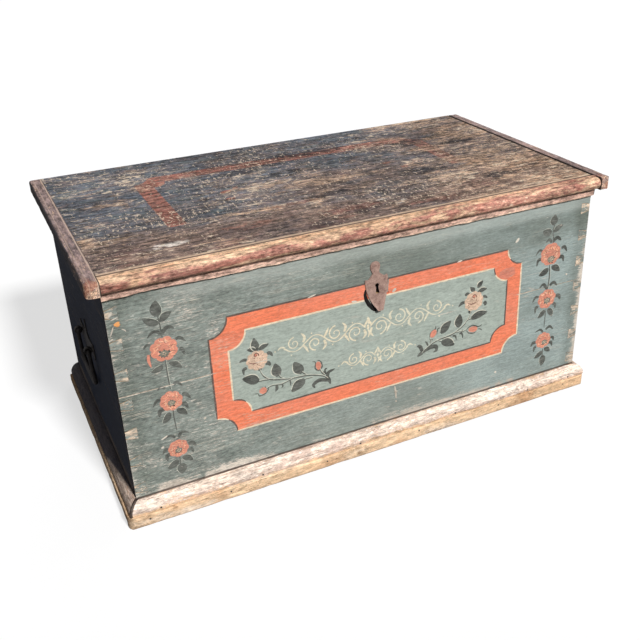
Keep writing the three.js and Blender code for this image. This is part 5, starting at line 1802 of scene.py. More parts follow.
def nail_head_tree():
    """Hand-made nail heads on points; each point says which way its head looks and how large it is."""
    tree, bench, given, result = new_tree(
        "Nail heads",
        [
            ("Dome", "NodeSocketFloat", 0.36), ("Unevenness", "NodeSocketFloat", 0.14),
            ("Seed", "NodeSocketInt", 3), ("Finish", "NodeSocketMaterial", None),
        ],
    )
    ball = bench.out("GeometryNodeMeshUVSphere", {"Segments": 12, "Rings": 8, "Radius": 1.0}, "Mesh")
    head = bench.out(
        "GeometryNodeTransform", {"Geometry": ball, "Scale": triple(bench, 1.0, 1.0, given["Dome"])},
    )
    facing_way = bench.out("GeometryNodeInputNamedAttribute", {"Name": "facing"}, data_type="FLOAT_VECTOR")
    radius = bench.out("GeometryNodeInputNamedAttribute", {"Name": "size"}, data_type="FLOAT")
    turned = bench.out("FunctionNodeAlignRotationToVector", {"Vector": facing_way}, axis="Z")
    spin = triple(bench, 0.0, 0.0, random_value(bench, 0.0, 6.28, given["Seed"]))
    turned = bench.out(
        "FunctionNodeRotateRotation", {"Rotation": turned, "Rotate By": spin}, rotation_space="LOCAL",
    )
    smallest = 1.0 - given["Unevenness"]
    wide = radius * random_value(bench, smallest, 1.0, given["Seed"] + 1.0)
    deep = radius * random_value(bench, smallest, 1.0, given["Seed"] + 2.0)
    placed = bench.out(
        "GeometryNodeInstanceOnPoints",
        {
            "Points": given["Geometry"], "Instance": head, "Rotation": turned,
            "Scale": triple(bench, wide, deep, radius),
        },
    )
    real = bench.out("GeometryNodeRealizeInstances", {"Geometry": placed})
    smooth = bench.out("GeometryNodeSetShadeSmooth", {"Geometry": real})
    bench.feed(
        result["Geometry"],
        bench.out("GeometryNodeSetMaterial", {"Geometry": smooth, "Material": given["Finish"]}),
    )
    return tree


def brush_ring_tree():
    """Brush strokes in a ring round each point, as petals; the point's size is the flower's radius."""
    tree, bench, given, result = new_tree(
        "Brush ring",
        [
            ("Stroke", "NodeSocketObject", None), ("Strokes", "NodeSocketInt", 11),
            ("Reach", "NodeSocketFloat", 0.6), ("Length", "NodeSocketFloat", 0.5),
            ("Lean", "NodeSocketFloat", 0.3), ("Unevenness", "NodeSocketFloat", 0.2),
            ("Plane height", "NodeSocketFloat", 0.0), ("Seed", "NodeSocketInt", 5),
            ("Finish", "NodeSocketMaterial", None),
        ],
    )
    points = bench.out("GeometryNodeMeshToPoints", {"Mesh": given["Geometry"]})
    copies = bench.outs(
        "GeometryNodeDuplicateElements", {"Geometry": points, "Amount": given["Strokes"]}, domain="POINT",
    )
    size = bench.out("GeometryNodeInputNamedAttribute", {"Name": "size"}, data_type="FLOAT")
    step = 2 * math.pi / given["Strokes"]
    angle = copies["Duplicate Index"] * step
    jitter = random_value(bench, -0.9, 0.9, given["Seed"]) * given["Unevenness"]
    angle = angle + jitter
    uneven = random_value(bench, -1.0, 0.4, given["Seed"] + 1.0) * given["Unevenness"] + 1.0
    reach = size * given["Reach"] * uneven
    offset = triple(bench, bench.math("COSINE", angle) * reach, bench.math("SINE", angle) * reach, 0.0)
    spread = bench.out("GeometryNodeSetPosition", {"Geometry": copies["Geometry"], "Offset": offset})
    stroke_shape = bench.out(
        "GeometryNodeObjectInfo", {"Object": given["Stroke"]}, "Geometry", transform_space="ORIGINAL",
    )
    scale = size * given["Length"] * uneven
    placed = bench.out("GeometryNodeInstanceOnPoints", {
        "Points": spread, "Instance": stroke_shape,
        "Rotation": triple(bench, 0.0, 0.0, angle + given["Lean"]),
        "Scale": triple(bench, scale, scale, 1.0),
    })
    real = bench.out("GeometryNodeRealizeInstances", {"Geometry": placed})
    stood = bench.out(
        "GeometryNodeTransform",
        {
            "Geometry": real, "Translation": triple(bench, 0.0, given["Plane height"], 0.0),
            "Rotation": (math.pi / 2, 0.0, 0.0),
        },
    )
    bench.feed(
        result["Geometry"],
        bench.out("GeometryNodeSetMaterial", {"Geometry": stood, "Material": given["Finish"]}),
    )
    return tree


def grown(name, tree, points, sizes, values, facings=None):
    """Runs a geometry tree on points and gives back a plain mesh."""
    data = bpy.data.meshes.new(name + "_points")
    data.from_pydata([tuple(point) for point in points], [], [])
    attribute = data.attributes.new("size", "FLOAT", "POINT")
    attribute.data.foreach_set("value", list(sizes))
    if facings is not None:
        attribute = data.attributes.new("facing", "FLOAT_VECTOR", "POINT")
        attribute.data.foreach_set("vector", [number for way in facings for number in way])
    host = bpy.data.objects.new(name + "_points", data)
    bpy.context.scene.collection.objects.link(host)
    modifier = host.modifiers.new("Grow", "NODES")
    modifier.node_group = tree
    for item in tree.interface.items_tree:
        if item.item_type == "SOCKET" and item.in_out == "INPUT" and item.name in values:
            modifier[item.identifier] = values[item.name]
    depsgraph = bpy.context.evaluated_depsgraph_get()
    result = bpy.data.meshes.new_from_object(host.evaluated_get(depsgraph), depsgraph=depsgraph)
    result.name = name
    host.modifiers.remove(modifier)
    bpy.data.objects.remove(host)
    if not result.polygons:
        raise RuntimeError(f"the tree for {name} made nothing")
    return result


# Pieces


def dress(material, *names):
    """Gives carried-over pieces their finish."""
    for name in names:
        for slot in NODES[name].material_slots:
            slot.material = material


class CHEST_OT_boards(bpy.types.Operator):
    """Finish the boards of the case, the bottom and the till"""

    bl_idname = "chest.boards"
    bl_label = "Case boards"

    def execute(self, context):
        wood = context.scene.chest_wood
        dress(front_paint(), "front_lower_board", "front_upper_board")
        dress(
            side_paint(),
            *(f"{side}_side_{part}_board" for side in ("left", "right") for part in ("lower", "upper")),
        )
        dress(back_boards(), "back_lower_board", "back_upper_board")
        inside = bare_pine("inside_pine_clean", wood.pine_light, wood.pine_dark)
        dress(inside, "bottom_board_1", "bottom_board_2", "bottom_board_3")
        till = bare_pine("till_pine_clean", wood.pine_light, wood.pine_dark, grain="y", density=9.0)
        dress(till, "till_front", "till_bottom")
        return {"FINISHED"}


class CHEST_OT_plinth(bpy.types.Operator):
    """Carve the worn plinth mouldings and base strips"""

    bl_idname = "chest.plinth"
    bl_label = "Plinth and base"

    def execute(self, context):
        front, back = FRONT_Y / MM, BACK_Y / MM
        # Runs in millimetres; the mitre at the left front stands open
        runs = (
            ("front", -589.7, 589.7, on_front, (-1.0, 1.0), 1.0, "x"),
            ("left", 2.4 + front, back, on_left, (-1.0, 0.0), 5.0, "y"),
            ("right", GAP + front, back, on_right, (-1.0, 0.0), 9.0, "y"),
        )
        for word, run_from, run_to, place, mitres, salt, grain in runs:
            name = f"plinth_{word}_moulding"
            data = worn_run(f"{name}_worn", moulding_profile(), run_from, run_to, place, mitres, salt=salt)
            finish = plinth_paint(f"plinth_{word}_chalky", grain, salt)
            new_piece(f"{name}_worn", data, finish, "plinth_paint", "carcass", name)
        data = base_front_mesh("base_front_strip_worn")
        finish = base_wood("base_front_scuffed", "x", 2.0)
        new_piece("base_front_strip_worn", data, finish, "base_wood", "carcass", "base_front_strip")
        # Runs front to back; the left strip is spliced
        ends = (
            ("base_left_front_strip", -317.95, -73.7, on_left, 3.0),
            ("base_left_back_strip", -73.3, back, on_left, 4.0),
            ("base_right_strip", -317.95, back, on_right, 7.0),
        )
        finish = base_wood("base_ends_scuffed", "y", 5.0)
        for name, run_from, run_to, place, salt in ends:
            data = worn_run(f"{name}_worn", strip_profile(), run_from, run_to, place, salt=salt)
            new_piece(f"{name}_worn", data, finish, "base_wood", "carcass", name)
        return {"FINISHED"}


class CHEST_OT_lid(bpy.types.Operator):
    """Finish the lid's boards and carve its moulding and cleats"""

    bl_idname = "chest.lid"
    bl_label = "Lid"

    def execute(self, context):
        dress(lid_paint(), "lid_back_board", "lid_front_board")
        data = nosing_mesh("lid_front_moulding_worn")
        new_piece(
            "lid_front_moulding_worn", data, nosing_paint(), "lid_moulding", "lid", "lid_front_moulding",
        )
        finish = cleat_paint()
        for name, side in (("lid_left_cleat", -1), ("lid_right_cleat", 1)):
            new_piece(f"{name}_worn", cleat_mesh(name, side), finish, "lid_paint", "lid", name)
        return {"FINISHED"}


class CHEST_OT_ironwork(bpy.types.Operator):
    """Finish the hinges, the lock and the key plate, and forge the handles"""

    bl_idname = "chest.ironwork"
    bl_label = "Ironwork"

    def execute(self, context):
        tints = context.scene.chest_iron
        rusted = iron("key_plate_rusted", tints.rust_light, tints.rust_dark, 0.8, 1.0)
        dress(rusted, "escutcheon")
        forged = iron("forged_iron_black", tints.black_light, tints.black_dark, 0.25, 3.0)
        carried = [
            f"{side}_{word}"
            for side in ("left", "right")
            for word in (
                "hinge_leaf", "hinge_pin", "hinge_strap", "handle_plate", "handle_front_eye",
                "handle_back_eye",
            )
        ]
        dress(forged, *carried, "lock_case", "lock_bolt", "lock_key_pin", "lid_staple")
        for word, side in (("left", -1), ("right", 1)):
            name = f"{word}_handle_bail"
            data = Bail(side).mesh(f"{name}_forged")
            new_piece(f"{name}_forged", data, forged, "black_iron", f"{word}_handle", name)
        return {"FINISHED"}


def clear_of_key_plate(cells):
    """The frame's cells, trimmed where the key plate lies over them."""
    plate_half = 24
    result = []
    for cell in cells:
        across = sum(u for u, _ in cell) / len(cell)
        if abs(across - KEYHOLE[0]) < plate_half and cell[0][1] > KEYHOLE[1]:
            cell = [(u, min(v, KEYHOLE[1])) for u, v in cell]
        result.append(cell)
    return result


def within(u, v, boxes):
    """Whether a place lies in one of the boxes: left, right, foot and head."""
    return any(left < u < right and foot < v < head for left, right, foot, head in boxes)


def frame_lines(outer, inner, width):
    """The frame's edge lines, parted into those painted as lit and those painted as shaded."""
    half, low, high, band, _ = frame_sizes()
    side, foot, top = half - band, low + band, high - band
    near, far, straight = 6, math.inf, 0.9
    # Boxes at the corners that are lit too: left, right, foot and head
    outer_lit = (
        (half - 46, far, -far, low + 46), (-far, -half + 24, low + 20, low + 46),
        (half - 46, half - 33, high - 46, far),
    )
    inner_lit = (
        (-far, -side + 44, top - 44, far), (side - 34, far, top - 44, top - 12),
        (-side + 28, -side + 44, -far, foot + 26),
    )

    def lit_outside(out_u, out_v, u, v):
        below = out_v < -straight and v < low + near
        at_right = out_u > straight and u > half - near
        return below or at_right or within(u, v, outer_lit)

    def lit_inside(out_u, out_v, u, v):
        above = out_v > straight and v > top - near
        at_left = out_u < -straight and u < -side + near
        return above or at_left or within(u, v, inner_lit)

    lit, shaded = [], []
    for outline, is_lit in ((outer, lit_outside), (inner, lit_inside)):
        lit += edge_line(outline, width, is_lit)
        shaded += edge_line(outline, width, lambda *place, test=is_lit: not test(*place))
    return lit, shaded


class CHEST_OT_cartouche(bpy.types.Operator):
    """Paint the orange-red frame, its pale green panel and the lit and shaded edge lines"""

    bl_idname = "chest.cartouche"
    bl_label = "Front frame"

    def execute(self, context):
        scene = context.scene
        paint, wear, ornament = scene.chest_paint, scene.chest_wear, scene.chest_ornament
        outer, inner = matched(*frame_outlines())
        rough_outer = [wobbled(u, v, wander()) for u, v in outer]
        rough_inner = [wobbled(u, v, wander(), 2.0) for u, v in inner]
        band = ornament_paint(
            "frame_orange_worn", paint.band, paint.band_shade, 0.20, streaks=0.42, ground=(206, 178, 156),
            seed=21.0, faded=(354, 380, 26, 16),
        )
        painted("front_frame_band", FRONT, [clear_of_key_plate(ring(rough_outer, rough_inner))], 1, band)
        panel = ornament_paint(
            "panel_green_worn", paint.panel, paint.panel_shade, wear.panel, streaks=0.4,
            ground=(150, 156, 146), seed=23.0,
        )
        painted("front_frame_panel", FRONT, [[rough_inner]], 1, panel)
        lit, shaded = frame_lines(outer, inner, ornament.line / MM)
        cream = ornament_paint(
            "line_cream_worn", paint.cream, paint.rose_cream, wear.flowers, streaks=0.3,
            ground=(214, 150, 124), seed=25.0,
        )
        dark = ornament_paint(
            "line_dark_worn", paint.dark, paint.leaf, wear.flowers, streaks=0.3, ground=(150, 130, 120),
            seed=27.0,
        )
        painted("front_frame_lit_lines", FRONT, lit, 2, cream)
        painted("front_frame_shaded_lines", FRONT, shaded, 2, dark)
        return {"FINISHED"}


# Key: material, colour, shade, chalky ground, streaks and seed
FLOWER_FINISHES = {
    "light": ("leaf_light_worn", "leaf_light", "panel", (143, 149, 143), 0.4, 33.0),
    "orange": ("rose_orange_worn", "rose", "band_shade", (176, 150, 136), 0.5, 35.0),
    "high": ("rose_high_worn", "rose_high", "rose", (190, 150, 132), 0.5, 36.0),
    "pale": ("rose_light_worn", "rose_pale", "rose_cream", (206, 150, 128), 0.5, 37.0),
    "cream": ("rose_cream_worn", "rose_cream", (0.50, 0.36, 0.28, 1.0), (190, 168, 150), 0.5, 39.0),
    "heart": ("rose_heart_worn", "rose_heart", "leaf", (190, 168, 150), 0.5, 40.0),
    "deep": ("rose_deep_worn", "rose_deep", "dark", (190, 140, 122), 0.5, 41.0),
}
FLOWER_PAINTS = {}


def flower_paint(context):
    """The paints that the flowers share, made once."""
    if not FLOWER_PAINTS:
        paint, loss = context.scene.chest_paint, context.scene.chest_wear.flowers
        FLOWER_PAINTS["leaf"] = ornament_paint(
            "leaf_dark_worn", paint.leaf, srgb(108, 109, 102), loss * 0.75, 0.5, seed=53.0, mottle=0.95,
        )
        for key, (name, tint, shade, ground, streaks, seed) in FLOWER_FINISHES.items():
            shade = getattr(paint, shade) if isinstance(shade, str) else shade
            FLOWER_PAINTS[key] = ornament_paint(
                name, getattr(paint, tint), shade, loss, streaks, ground, seed=seed,
            )
    return FLOWER_PAINTS


def brush_stroke(name, layer, width, bend):
    """One petal stroke of unit length along X, for the brush ring tree."""
    unit = Plane((0, 0, 0), (1, 0, 0), (0, 1, 0), (0, 0, 1))
    line, widths = [], []
    for step in range(9):
        t = step / 8
        line.append(((t - 0.5) * 1000, bend * 1000 * (4 * t * (1 - t) - 0.5)))
        widths.append(width * 1000 * (math.sin(math.pi * (0.08 + 0.84 * t)) ** 0.8))

    def build(shape):
        slab(shape, unit, ribbon(line, widths), paint_layer(layer))

    stroke_piece = bpy.data.objects.new(name, mesh_from(name, build))
    bpy.context.scene.collection.objects.link(stroke_piece)
    return stroke_piece


def petal_rings(
    name, tree, flowers, finish, layer, count, reach, long, lean, width, bend, seed, unevenness,
):
    """Rings of brush strokes on the front, one round each (u, v, radius)."""
    template = brush_stroke(f"{name}_stroke", layer, width, bend)
    places, sizes = [
        (u * MM, v * MM, 0.0)
        for u, v, _ in flowers
    ], [radius * MM for _, _, radius in flowers]
    data = grown(
        name, tree, places, sizes,
        {
            "Stroke": template, "Strokes": count, "Reach": reach, "Length": long, "Lean": lean,
            "Unevenness": unevenness, "Plane height": FRONT_Y, "Seed": seed, "Finish": finish,
        },
    )
    bpy.data.objects.remove(template)
    return new_piece(name, data, finish, "front_paint", "carcass")


def scalloped(u, v, radius, lobes, salt=0.0):
    """The body of a rose with lobes for its petals."""
    points = []
    sides = lobes * 7
    for index in range(sides):
        angle = 2 * math.pi * index / sides
        lobe = abs(math.sin(lobes * angle / 2 + salt)) ** 0.6
        grow = 0.86 + 0.14 * lobe + 0.06 * noise.noise(Vector((math.cos(angle), math.sin(angle), u + salt)))
        points.append((u + radius * grow * math.cos(angle), v + radius * grow * math.sin(angle) * 0.97))
    return [points]


class CHEST_OT_columns(bpy.types.Operator):
    """Paint the two upright sprays of orange roses at the ends of the front"""

    bl_idname = "chest.columns"
    bl_label = "Rose columns"

    def execute(self, context):
        finish = flower_paint(context)
        petals = context.scene.chest_ornament.petals
        leaves = [leaf(*row) for row in LEFT_LEAVES + RIGHT_LEAVES]
        leaves += strokes(LEFT_COMMAS + RIGHT_COMMAS) + strokes(LEFT_STEMS + RIGHT_STEMS, "stem")
        painted("column_leaves", FRONT, leaves, 1, finish["leaf"])
        lights = [leaf_edge(*row, side_sign=1.0 if row[2] > row[0] else -1.0, thickness=0.6)
                  for row in LEFT_LEAVES + RIGHT_LEAVES]
        lights += beside((LEFT_STEMS[1], RIGHT_STEMS[1]), 2.1, 0, 0.7)
        painted("column_leaf_lights", FRONT, lights, 2, finish["light"])
        bodies = [
            scalloped(u, v, radius, 8, index)
            for index, (u, v, radius, _, _) in enumerate(COLUMN_ROSES)
        ]
        bodies.append(stroke([(-519, 399), (-520, 385), (-517, 369)], 5))
        painted("column_rose_bodies", FRONT, bodies, 2, finish["orange"])
        tree = brush_ring_tree()
        round_body = [(u, v, radius) for u, v, radius, _, _ in COLUMN_ROSES]
        hearts = [(u + du, v + dv, 0.34 * radius) for u, v, radius, du, dv in COLUMN_ROSES]
        petal_rings(
            "column_rose_petals", tree, round_body, finish["high"], 3, petals + 2, 0.70, 0.52, 1.15, 0.17,
            0.26, 11, 0.3,
        )
        petal_rings(
            "column_rose_shades", tree, round_body, finish["deep"], 4, 11, 0.62, 0.42, 0.25, 0.08, 0.2,
            12, 0.4,
        )
        petal_rings(
            "column_rose_lights", tree, round_body, finish["pale"], 5, 12, 0.66, 0.34, 0.9, 0.13, 0.2, 17,
            0.5,
        )
        painted(
            "column_rose_hearts", FRONT, [blob(u, v, radius, radius * 0.8) for u, v, radius in hearts], 5,
            finish["heart"],
        )
        petal_rings(
            "column_rose_stamens", tree, hearts, finish["leaf"], 6, 9, 1.0, 0.46, 0.5, 0.6, 0.0, 13, 0.4,
        )
        petal_rings(
            "column_rose_middles", tree, hearts, finish["pale"], 6, 4, 0.40, 0.42, 1.2, 0.4, 0.1, 14, 0.4,
        )
        return {"FINISHED"}


class CHEST_OT_sprays(bpy.types.Operator):
    """Paint the two sprays of cream roses on the panel"""

    bl_idname = "chest.sprays"
    bl_label = "Panel sprays"

    def execute(self, context):
        finish = flower_paint(context)
        leaves = [leaf(*row, bend=0.06 * side) for *row, side in SPRAY_LEAVES]
        leaves += strokes(SPRAY_COMMAS) + strokes(SPRAY_STEMS, "stem") + strokes(SPRAY_SEPALS, "blade")
        painted("spray_leaves", FRONT, leaves, 2, finish["leaf"])
        lights = [
            leaf_edge(*row, bend=0.06 * side, side_sign=side, thickness=2.1)
            for *row, side in SPRAY_LEAVES
        ]
        lights += beside(SPRAY_STEMS, 0.6, 2.4, 1.1)
        painted("spray_leaf_lights", FRONT, lights, 3, finish["light"])
        bodies = [
            scalloped(u, v, radius, 9, index)
            for index, (u, v, radius, _, _) in enumerate(SPRAY_ROSES)
        ]
        painted("spray_rose_bodies", FRONT, bodies, 3, finish["cream"])
        painted("spray_buds", FRONT, [blob(*row) for row in SPRAY_BUDS], 3, finish["orange"])
        round_body = [(u, v, radius) for u, v, radius, _, _ in SPRAY_ROSES]
        tree = brush_ring_tree()
        petal_rings(
            "spray_rose_petals", tree, round_body, finish["pale"], 4, 13, 0.72, 0.46, 1.2, 0.17, 0.24, 15,
            0.3,
        )
        petal_rings(
            "spray_rose_shades", tree, round_body, finish["deep"], 5, 11, 0.66, 0.34, 0.5, 0.08, 0.25, 16,
            0.4,
        )
        petal_rings(
            "spray_rose_dots", tree, round_body, finish["deep"], 5, 9, 0.36, 0.14, 0.5, 0.5, 0.0, 18, 0.5,
        )
        hearts = [(u + du, v + dv, 7.0) for u, v, _, du, dv in SPRAY_ROSES]
        curls = [curl(u, v, radius, -0.4, 1.1, 2.6) for u, v, radius in hearts]
        curls += [
            stroke([(u - 18, v - 13), (u - 6, v - 19), (u + 8, v - 17)], 2.2, "blade")
            for u, v, _ in hearts
        ]
        painted("spray_rose_curls", FRONT, curls, 6, finish["deep"])
        painted(
            "spray_rose_hearts", FRONT, [blob(u, v, 3.6, 3.4) for u, v, _ in hearts], 5, finish["orange"],
        )
        return {"FINISHED"}


class CHEST_OT_flourish(bpy.types.Operator):
    """Paint the cream scrollwork in the middle of the panel and the small chips of the front"""

    bl_idname = "chest.flourish"
    bl_label = "Panel scrollwork"

    def execute(self, context):
        paint, wear = context.scene.chest_paint, context.scene.chest_wear
        tint = ornament_paint(
            "scroll_cream_worn", paint.cream, paint.panel, wear.flowers + 0.06, streaks=0.3,
            ground=(178, 186, 175), seed=45.0,
        )
        scrolls = flourish(-26, 333, 206, 58, 3.4, 4) + flourish(-2, 254, 80, 46, 3.0, 2)
        painted("front_scrollwork", FRONT, scrolls, 2, tint)
        chip = bare_pine("chips_bare_pine", srgb(238, 228, 212), context.scene.chest_wood.flaked_dark)
        chips = [stroke([(u0, v0), ((u0 + u1) / 2 + 0.6, (v0 + v1) / 2), (u1, v1)], width, "blade")
                 for width, u0, v0, u1, v1 in CHIPS]
        painted("front_chips", FRONT, chips, 3, chip)
        knot = bare_pine("knot_orange_pine", srgb(240, 174, 112), srgb(204, 132, 74))
        painted("front_bared_knot", FRONT, [blob(-569, 481, 6.5, 5.5, rough=0.5)], 2, knot)
        # A painted shadow: a black crescent on the front below the key plate's lower left edge, where the
        # bent plate stands off the wood.
        plate_shadow_paint = ornament_paint(
            "soot_black", srgb(34, 31, 30), srgb(22, 20, 20), 0.05, ground=(60, 56, 54), seed=47.0,
        )
        painted("key_plate_shadow", FRONT, [[KEY_PLATE_SHADOW]], 3, plate_shadow_paint)
        return {"FINISHED"}


class CHEST_OT_lid_ornament(bpy.types.Operator):
    """Paint what is left of the red frame and the flowers on the lid"""

    bl_idname = "chest.lid_ornament"
    bl_label = "Lid ornament"

    def execute(self, context):
        paint, wear = context.scene.chest_paint, context.scene.chest_wear
        band = lid_ornament_paint("lid_red_rubbed", paint.lid_band, srgb(120, 70, 60), wear.lid_flowers)
        outer, inner = hollow_cornered(-405, 385, -420, 203, 40), hollow_cornered(-364, 345, -380, 160, 34)
        outer, inner = matched(outer, inner, 7.0)
        ragged = ring([wobbled(u, v, 1.6) for u, v in outer], [wobbled(u, v, 1.6, 3.0) for u, v in inner])
        back_part = [
            cell
            for cell in ragged
            if sum(v for _, v in cell) / 4 > (-140 if cell[0][0] < 0 else -70)
        ]
        painted("lid_frame_band", TOP, [back_part], 1, band)
        painted("lid_flower_spots", TOP, [blob(*row) for row in LID_BLOBS], 1, band)
        dark = lid_ornament_paint("lid_leaf_rubbed", srgb(74, 72, 70), srgb(60, 56, 54), wear.lid_flowers)
        painted("lid_flower_leaves", TOP, strokes(LID_STROKES), 1, dark)
        return {"FINISHED"}


# Places of nails in millimetres: along the front, along an end
MOULDING_NAILS = (-545, -310, -62, 205, 428, 560), (-262, -20, 246)
STRIP_NAILS = (-572, -389, -152, 97, 333, 541), (-240, -105, 40, 285)
# Along and above the bail's axis, down a hinge leaf, forward along a strap, along a cleat and on the front
HANDLE_NAILS = (-70, 6), (70, 6), (0, 30), (0, -26)
LEAF_NAILS = 45, 75, 103
STRAP_NAILS = 60, 150, 225
CLEAT_NAILS = -292, -150, 12, 170, 305
KEY_PLATE_NAILS = (-4, 482), (-26, 440), (20, 438), (-3, 398)
# How far the faces that the nails sit on stand out, and the heights of the rows
MOULDING_FACE, STRIP_FACE, PLATE_FACE = 21.9, 26.5, 2.1
MOULDING_ROW, STRIP_ROW = 37, 19


class CHEST_OT_nails(bpy.types.Operator):
    """Drive the nails of the plinth, the cleats, the hinges, the handles and the key plate"""

    bl_idname = "chest.nails"
    bl_label = "Nails"

    def execute(self, context):
        nails, tints = context.scene.chest_nails, context.scene.chest_iron
        tree = nail_head_tree()
        forged = iron("nail_heads_black", tints.black_light, tints.black_dark, 0.4, 5.0, edge=0.0005)
        rusted = iron("nail_heads_rusted", tints.rust_light, tints.rust_dark, 0.7, 6.0, edge=0.0005)
        out_front, out_left, out_right = (0, -1, 0), (-1, 0, 0), (1, 0, 0)
        small, large = nails.plinth_head, nails.iron_head
        moulding_front, moulding_end = MOULDING_NAILS
        strip_front, strip_end = STRIP_NAILS
        plinth = [(on_front(x, MOULDING_FACE, MOULDING_ROW), out_front, small) for x in moulding_front]
        plinth += [
            (on_front(x, STRIP_FACE, STRIP_ROW + 1 + 3 * (x % 2)), out_front, small)
            for x in strip_front
        ]
        for place, out in ((on_left, out_left), (on_right, out_right)):
            plinth += [(place(y, MOULDING_FACE, MOULDING_ROW), out, small) for y in moulding_end]
            plinth += [(place(y, STRIP_FACE, STRIP_ROW), out, small) for y in strip_end]
        plate, straps = [], []
        for side, word, out in ((-1, "left", out_left), (1, "right", out_right)):
            low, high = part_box(f"{word}_handle_plate")
            centre = Vector((low.x if side < 0 else high.x, (low.y + high.y) / 2, Bail(side).axis.z))
            plate += [(centre + Vector((0, y * MM, z * MM)), out, large * 0.8) for y, z in HANDLE_NAILS]
            low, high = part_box(f"{word}_hinge_leaf")
            middle, face_y = (low.x + high.x) / 2, low.y + PLATE_FACE * MM
            plate += [(Vector((middle, face_y, high.z - z * MM)), (0, 1, 0), large) for z in LEAF_NAILS]
            low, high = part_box(f"{word}_hinge_strap")
            middle, face_z = (low.x + high.x) / 2, LID_Z - 0.0293
            straps += [
                (Vector((middle, high.y - 0.007 - y * MM, face_z)), (0, 0, -1), large)
                for y in STRAP_NAILS
            ]
        face_y = FRONT_Y - PLATE_FACE * MM
        key_plate = [(Vector((x * MM, face_y, z * MM)), out_front, large * 0.7) for x, z in KEY_PLATE_NAILS]
        lid_nails = [(Vector((0.063, FRONT_Y - 0.015, LID_Z - 0.0044)), (0, -0.55, 0.83), small * 1.5)]
        for side in (-1, 1):
            lid_nails += [
                (Vector((side * 0.604, y * MM, LID_Z - 0.0012)), (0, 0, 1), small)
                for y in CLEAT_NAILS
            ]
        groups_of_nails = (
            ("plinth_nails", plinth, forged, "black_iron", "carcass"),
            ("ironwork_nails", plate, forged, "black_iron", "carcass"),
            ("strap_nails", straps, forged, "black_iron", "lid"),
            ("key_plate_nails", key_plate, rusted, "rusted_iron", "carcass"),
            ("lid_nails", lid_nails, forged, "black_iron", "lid"),
        )
        for seed, (name, heads, finish, slot_name, body) in enumerate(groups_of_nails):
            data = grown(
                name, tree, [place for place, _, _ in heads], [radius for _, _, radius in heads],
                {"Dome": nails.dome, "Seed": 3 + seed, "Finish": finish}, [way for _, way, _ in heads],
            )
            new_piece(name, data, finish, slot_name, body)
        return {"FINISHED"}


# Sun lamps: name, width of the sun in degrees and the way to it
LAMPS = (("key", 8, (0.12, -0.765, 0.630)), ("behind", 40, (0.42, 0.89, 0.17)))
# The camera of the photo: place in metres, turn in degrees, lens in millimetres and shift
CAMERA_PLACE, CAMERA_TURN = (-0.79703796, -1.82506858, 1.25373808), (62.55591743, 0.97795781, -27.16630131)
CAMERA_LENS, CAMERA_SHIFT = 47.93786492, (-0.06549510, -0.01479755)
PLAIN_WHITE = (1, 1, 1, 1)


def floor_material(tint):
    """Pale to the camera, white to everything that it lights."""
    bench = new_material("floor_pale")[0]
    seen = bench.out("ShaderNodeLightPath", which="Is Camera Ray")
    plain = bench.out("ShaderNodeBsdfDiffuse", {"Color": mix(seen, tint, PLAIN_WHITE)})
    glow = bench.out("ShaderNodeEmission", {"Color": PLAIN_WHITE, "Strength": 1.04})
    blend = bench.out("ShaderNodeMixShader", {0: seen * 0.62, 1: plain, 2: glow})
    bench.node("ShaderNodeOutputMaterial", {"Surface": blend})
    return bench.material


def studio(fill, sheen):
    """A world that the camera sees as white, glossy finishes as sheen and everything else as fill."""
    world = bpy.data.worlds.new("studio")
    world.use_nodes = True
    world.node_tree.nodes.clear()
    bench = Bench(world.node_tree)
    path = bench.outs("ShaderNodeLightPath")
    level = path["Is Camera Ray"] | path["Is Glossy Ray"] * (sheen - fill) + fill
    sky = bench.out("ShaderNodeBackground", {"Color": PLAIN_WHITE, "Strength": level})
    bench.node("ShaderNodeOutputWorld", {"Surface": sky})
    return world


def sun(name, strength, width, way):
    """A sun lamp; only the key lamp is mirrored in the finishes."""
    data = bpy.data.lights.new(name, "SUN")
    data.energy, data.angle = strength, math.radians(width)
    lamp = bpy.data.objects.new(name, data)
    bpy.context.scene.collection.objects.link(lamp)
    way = Vector(way).normalized()
    lamp.location = Vector((0, 0, 0.3)) + way * 5.0
    lamp.rotation_euler = way.to_track_quat("Z", "Y").to_euler()
    lamp.visible_glossy = name == "key"


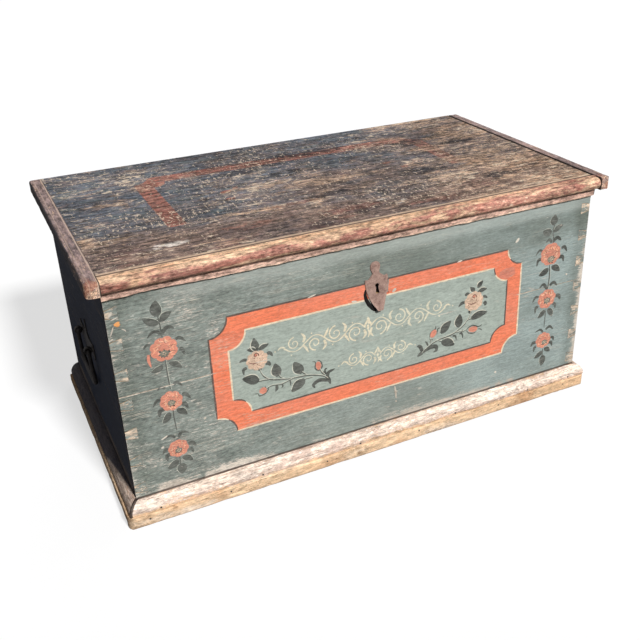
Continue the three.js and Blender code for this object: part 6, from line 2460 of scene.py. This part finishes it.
class CHEST_OT_stage(bpy.types.Operator):
    """Set the pale floor, the lamps and the camera"""

    bl_idname = "chest.stage"
    bl_label = "Stage"

    def execute(self, context):
        scene = context.scene
        settings = scene.chest_stage
        half = settings.floor_half
        data = bpy.data.meshes.new("floor")
        data.from_pydata(
            [(-half, -half, 0), (half, -half, 0), (half, half, 0), (-half, half, 0)], [], [(0, 1, 2, 3)],
        )
        floor = bpy.data.objects.new("floor", data)
        scene.collection.objects.link(floor)
        data.materials.append(floor_material(settings.floor))
        scene.world = studio(settings.fill, settings.sheen)
        for name, width, way in LAMPS:
            sun(name, getattr(settings, name), width, way)
        data = bpy.data.cameras.new("camera")
        data.lens, data.sensor_width = CAMERA_LENS, 36.0
        data.shift_x, data.shift_y = CAMERA_SHIFT
        camera = bpy.data.objects.new("camera", data)
        scene.collection.objects.link(camera)
        camera.location = CAMERA_PLACE
        camera.rotation_euler = Euler([math.radians(angle) for angle in CAMERA_TURN])
        scene.camera = camera
        scene.view_settings.view_transform = "Standard"
        return {"FINISHED"}


OPERATORS = (
    CHEST_OT_boards, CHEST_OT_plinth, CHEST_OT_lid, CHEST_OT_ironwork, CHEST_OT_cartouche, CHEST_OT_sprays,
    CHEST_OT_columns, CHEST_OT_flourish, CHEST_OT_lid_ornament, CHEST_OT_nails, CHEST_OT_stage,
)


class CHEST_PT_panel(bpy.types.Panel):
    """The chest's settings and the pieces they belong to"""

    bl_idname = "CHEST_PT_panel"
    bl_label = "Blanket chest"
    bl_space_type = "VIEW_3D"
    bl_region_type = "UI"
    bl_category = "Chest"

    def draw(self, context):
        for name, group in SETTINGS.items():
            box = self.layout.box()
            box.label(text=name.replace("chest_", "").title())
            for key in group.__annotations__:
                box.prop(getattr(context.scene, name), key)
        for operator in OPERATORS:
            self.layout.operator(operator.bl_idname)


def register():
    for group in SETTINGS.values():
        bpy.utils.register_class(group)
    for name, group in SETTINGS.items():
        setattr(bpy.types.Scene, name, PointerProperty(type=group))
    for operator in OPERATORS:
        bpy.utils.register_class(operator)
    bpy.utils.register_class(CHEST_PT_panel)


def unregister():
    bpy.utils.unregister_class(CHEST_PT_panel)
    for operator in reversed(OPERATORS):
        bpy.utils.unregister_class(operator)
    for name, group in reversed(SETTINGS.items()):
        delattr(bpy.types.Scene, name)
        bpy.utils.unregister_class(group)


def main():
    register()
    bpy.ops.chest.boards()
    bpy.ops.chest.plinth()
    bpy.ops.chest.lid()
    bpy.ops.chest.ironwork()
    bpy.ops.chest.cartouche()
    bpy.ops.chest.sprays()
    bpy.ops.chest.columns()
    bpy.ops.chest.flourish()
    bpy.ops.chest.lid_ornament()
    bpy.ops.chest.nails()
    bpy.ops.chest.stage()


if __name__ == "__main__":
    main()
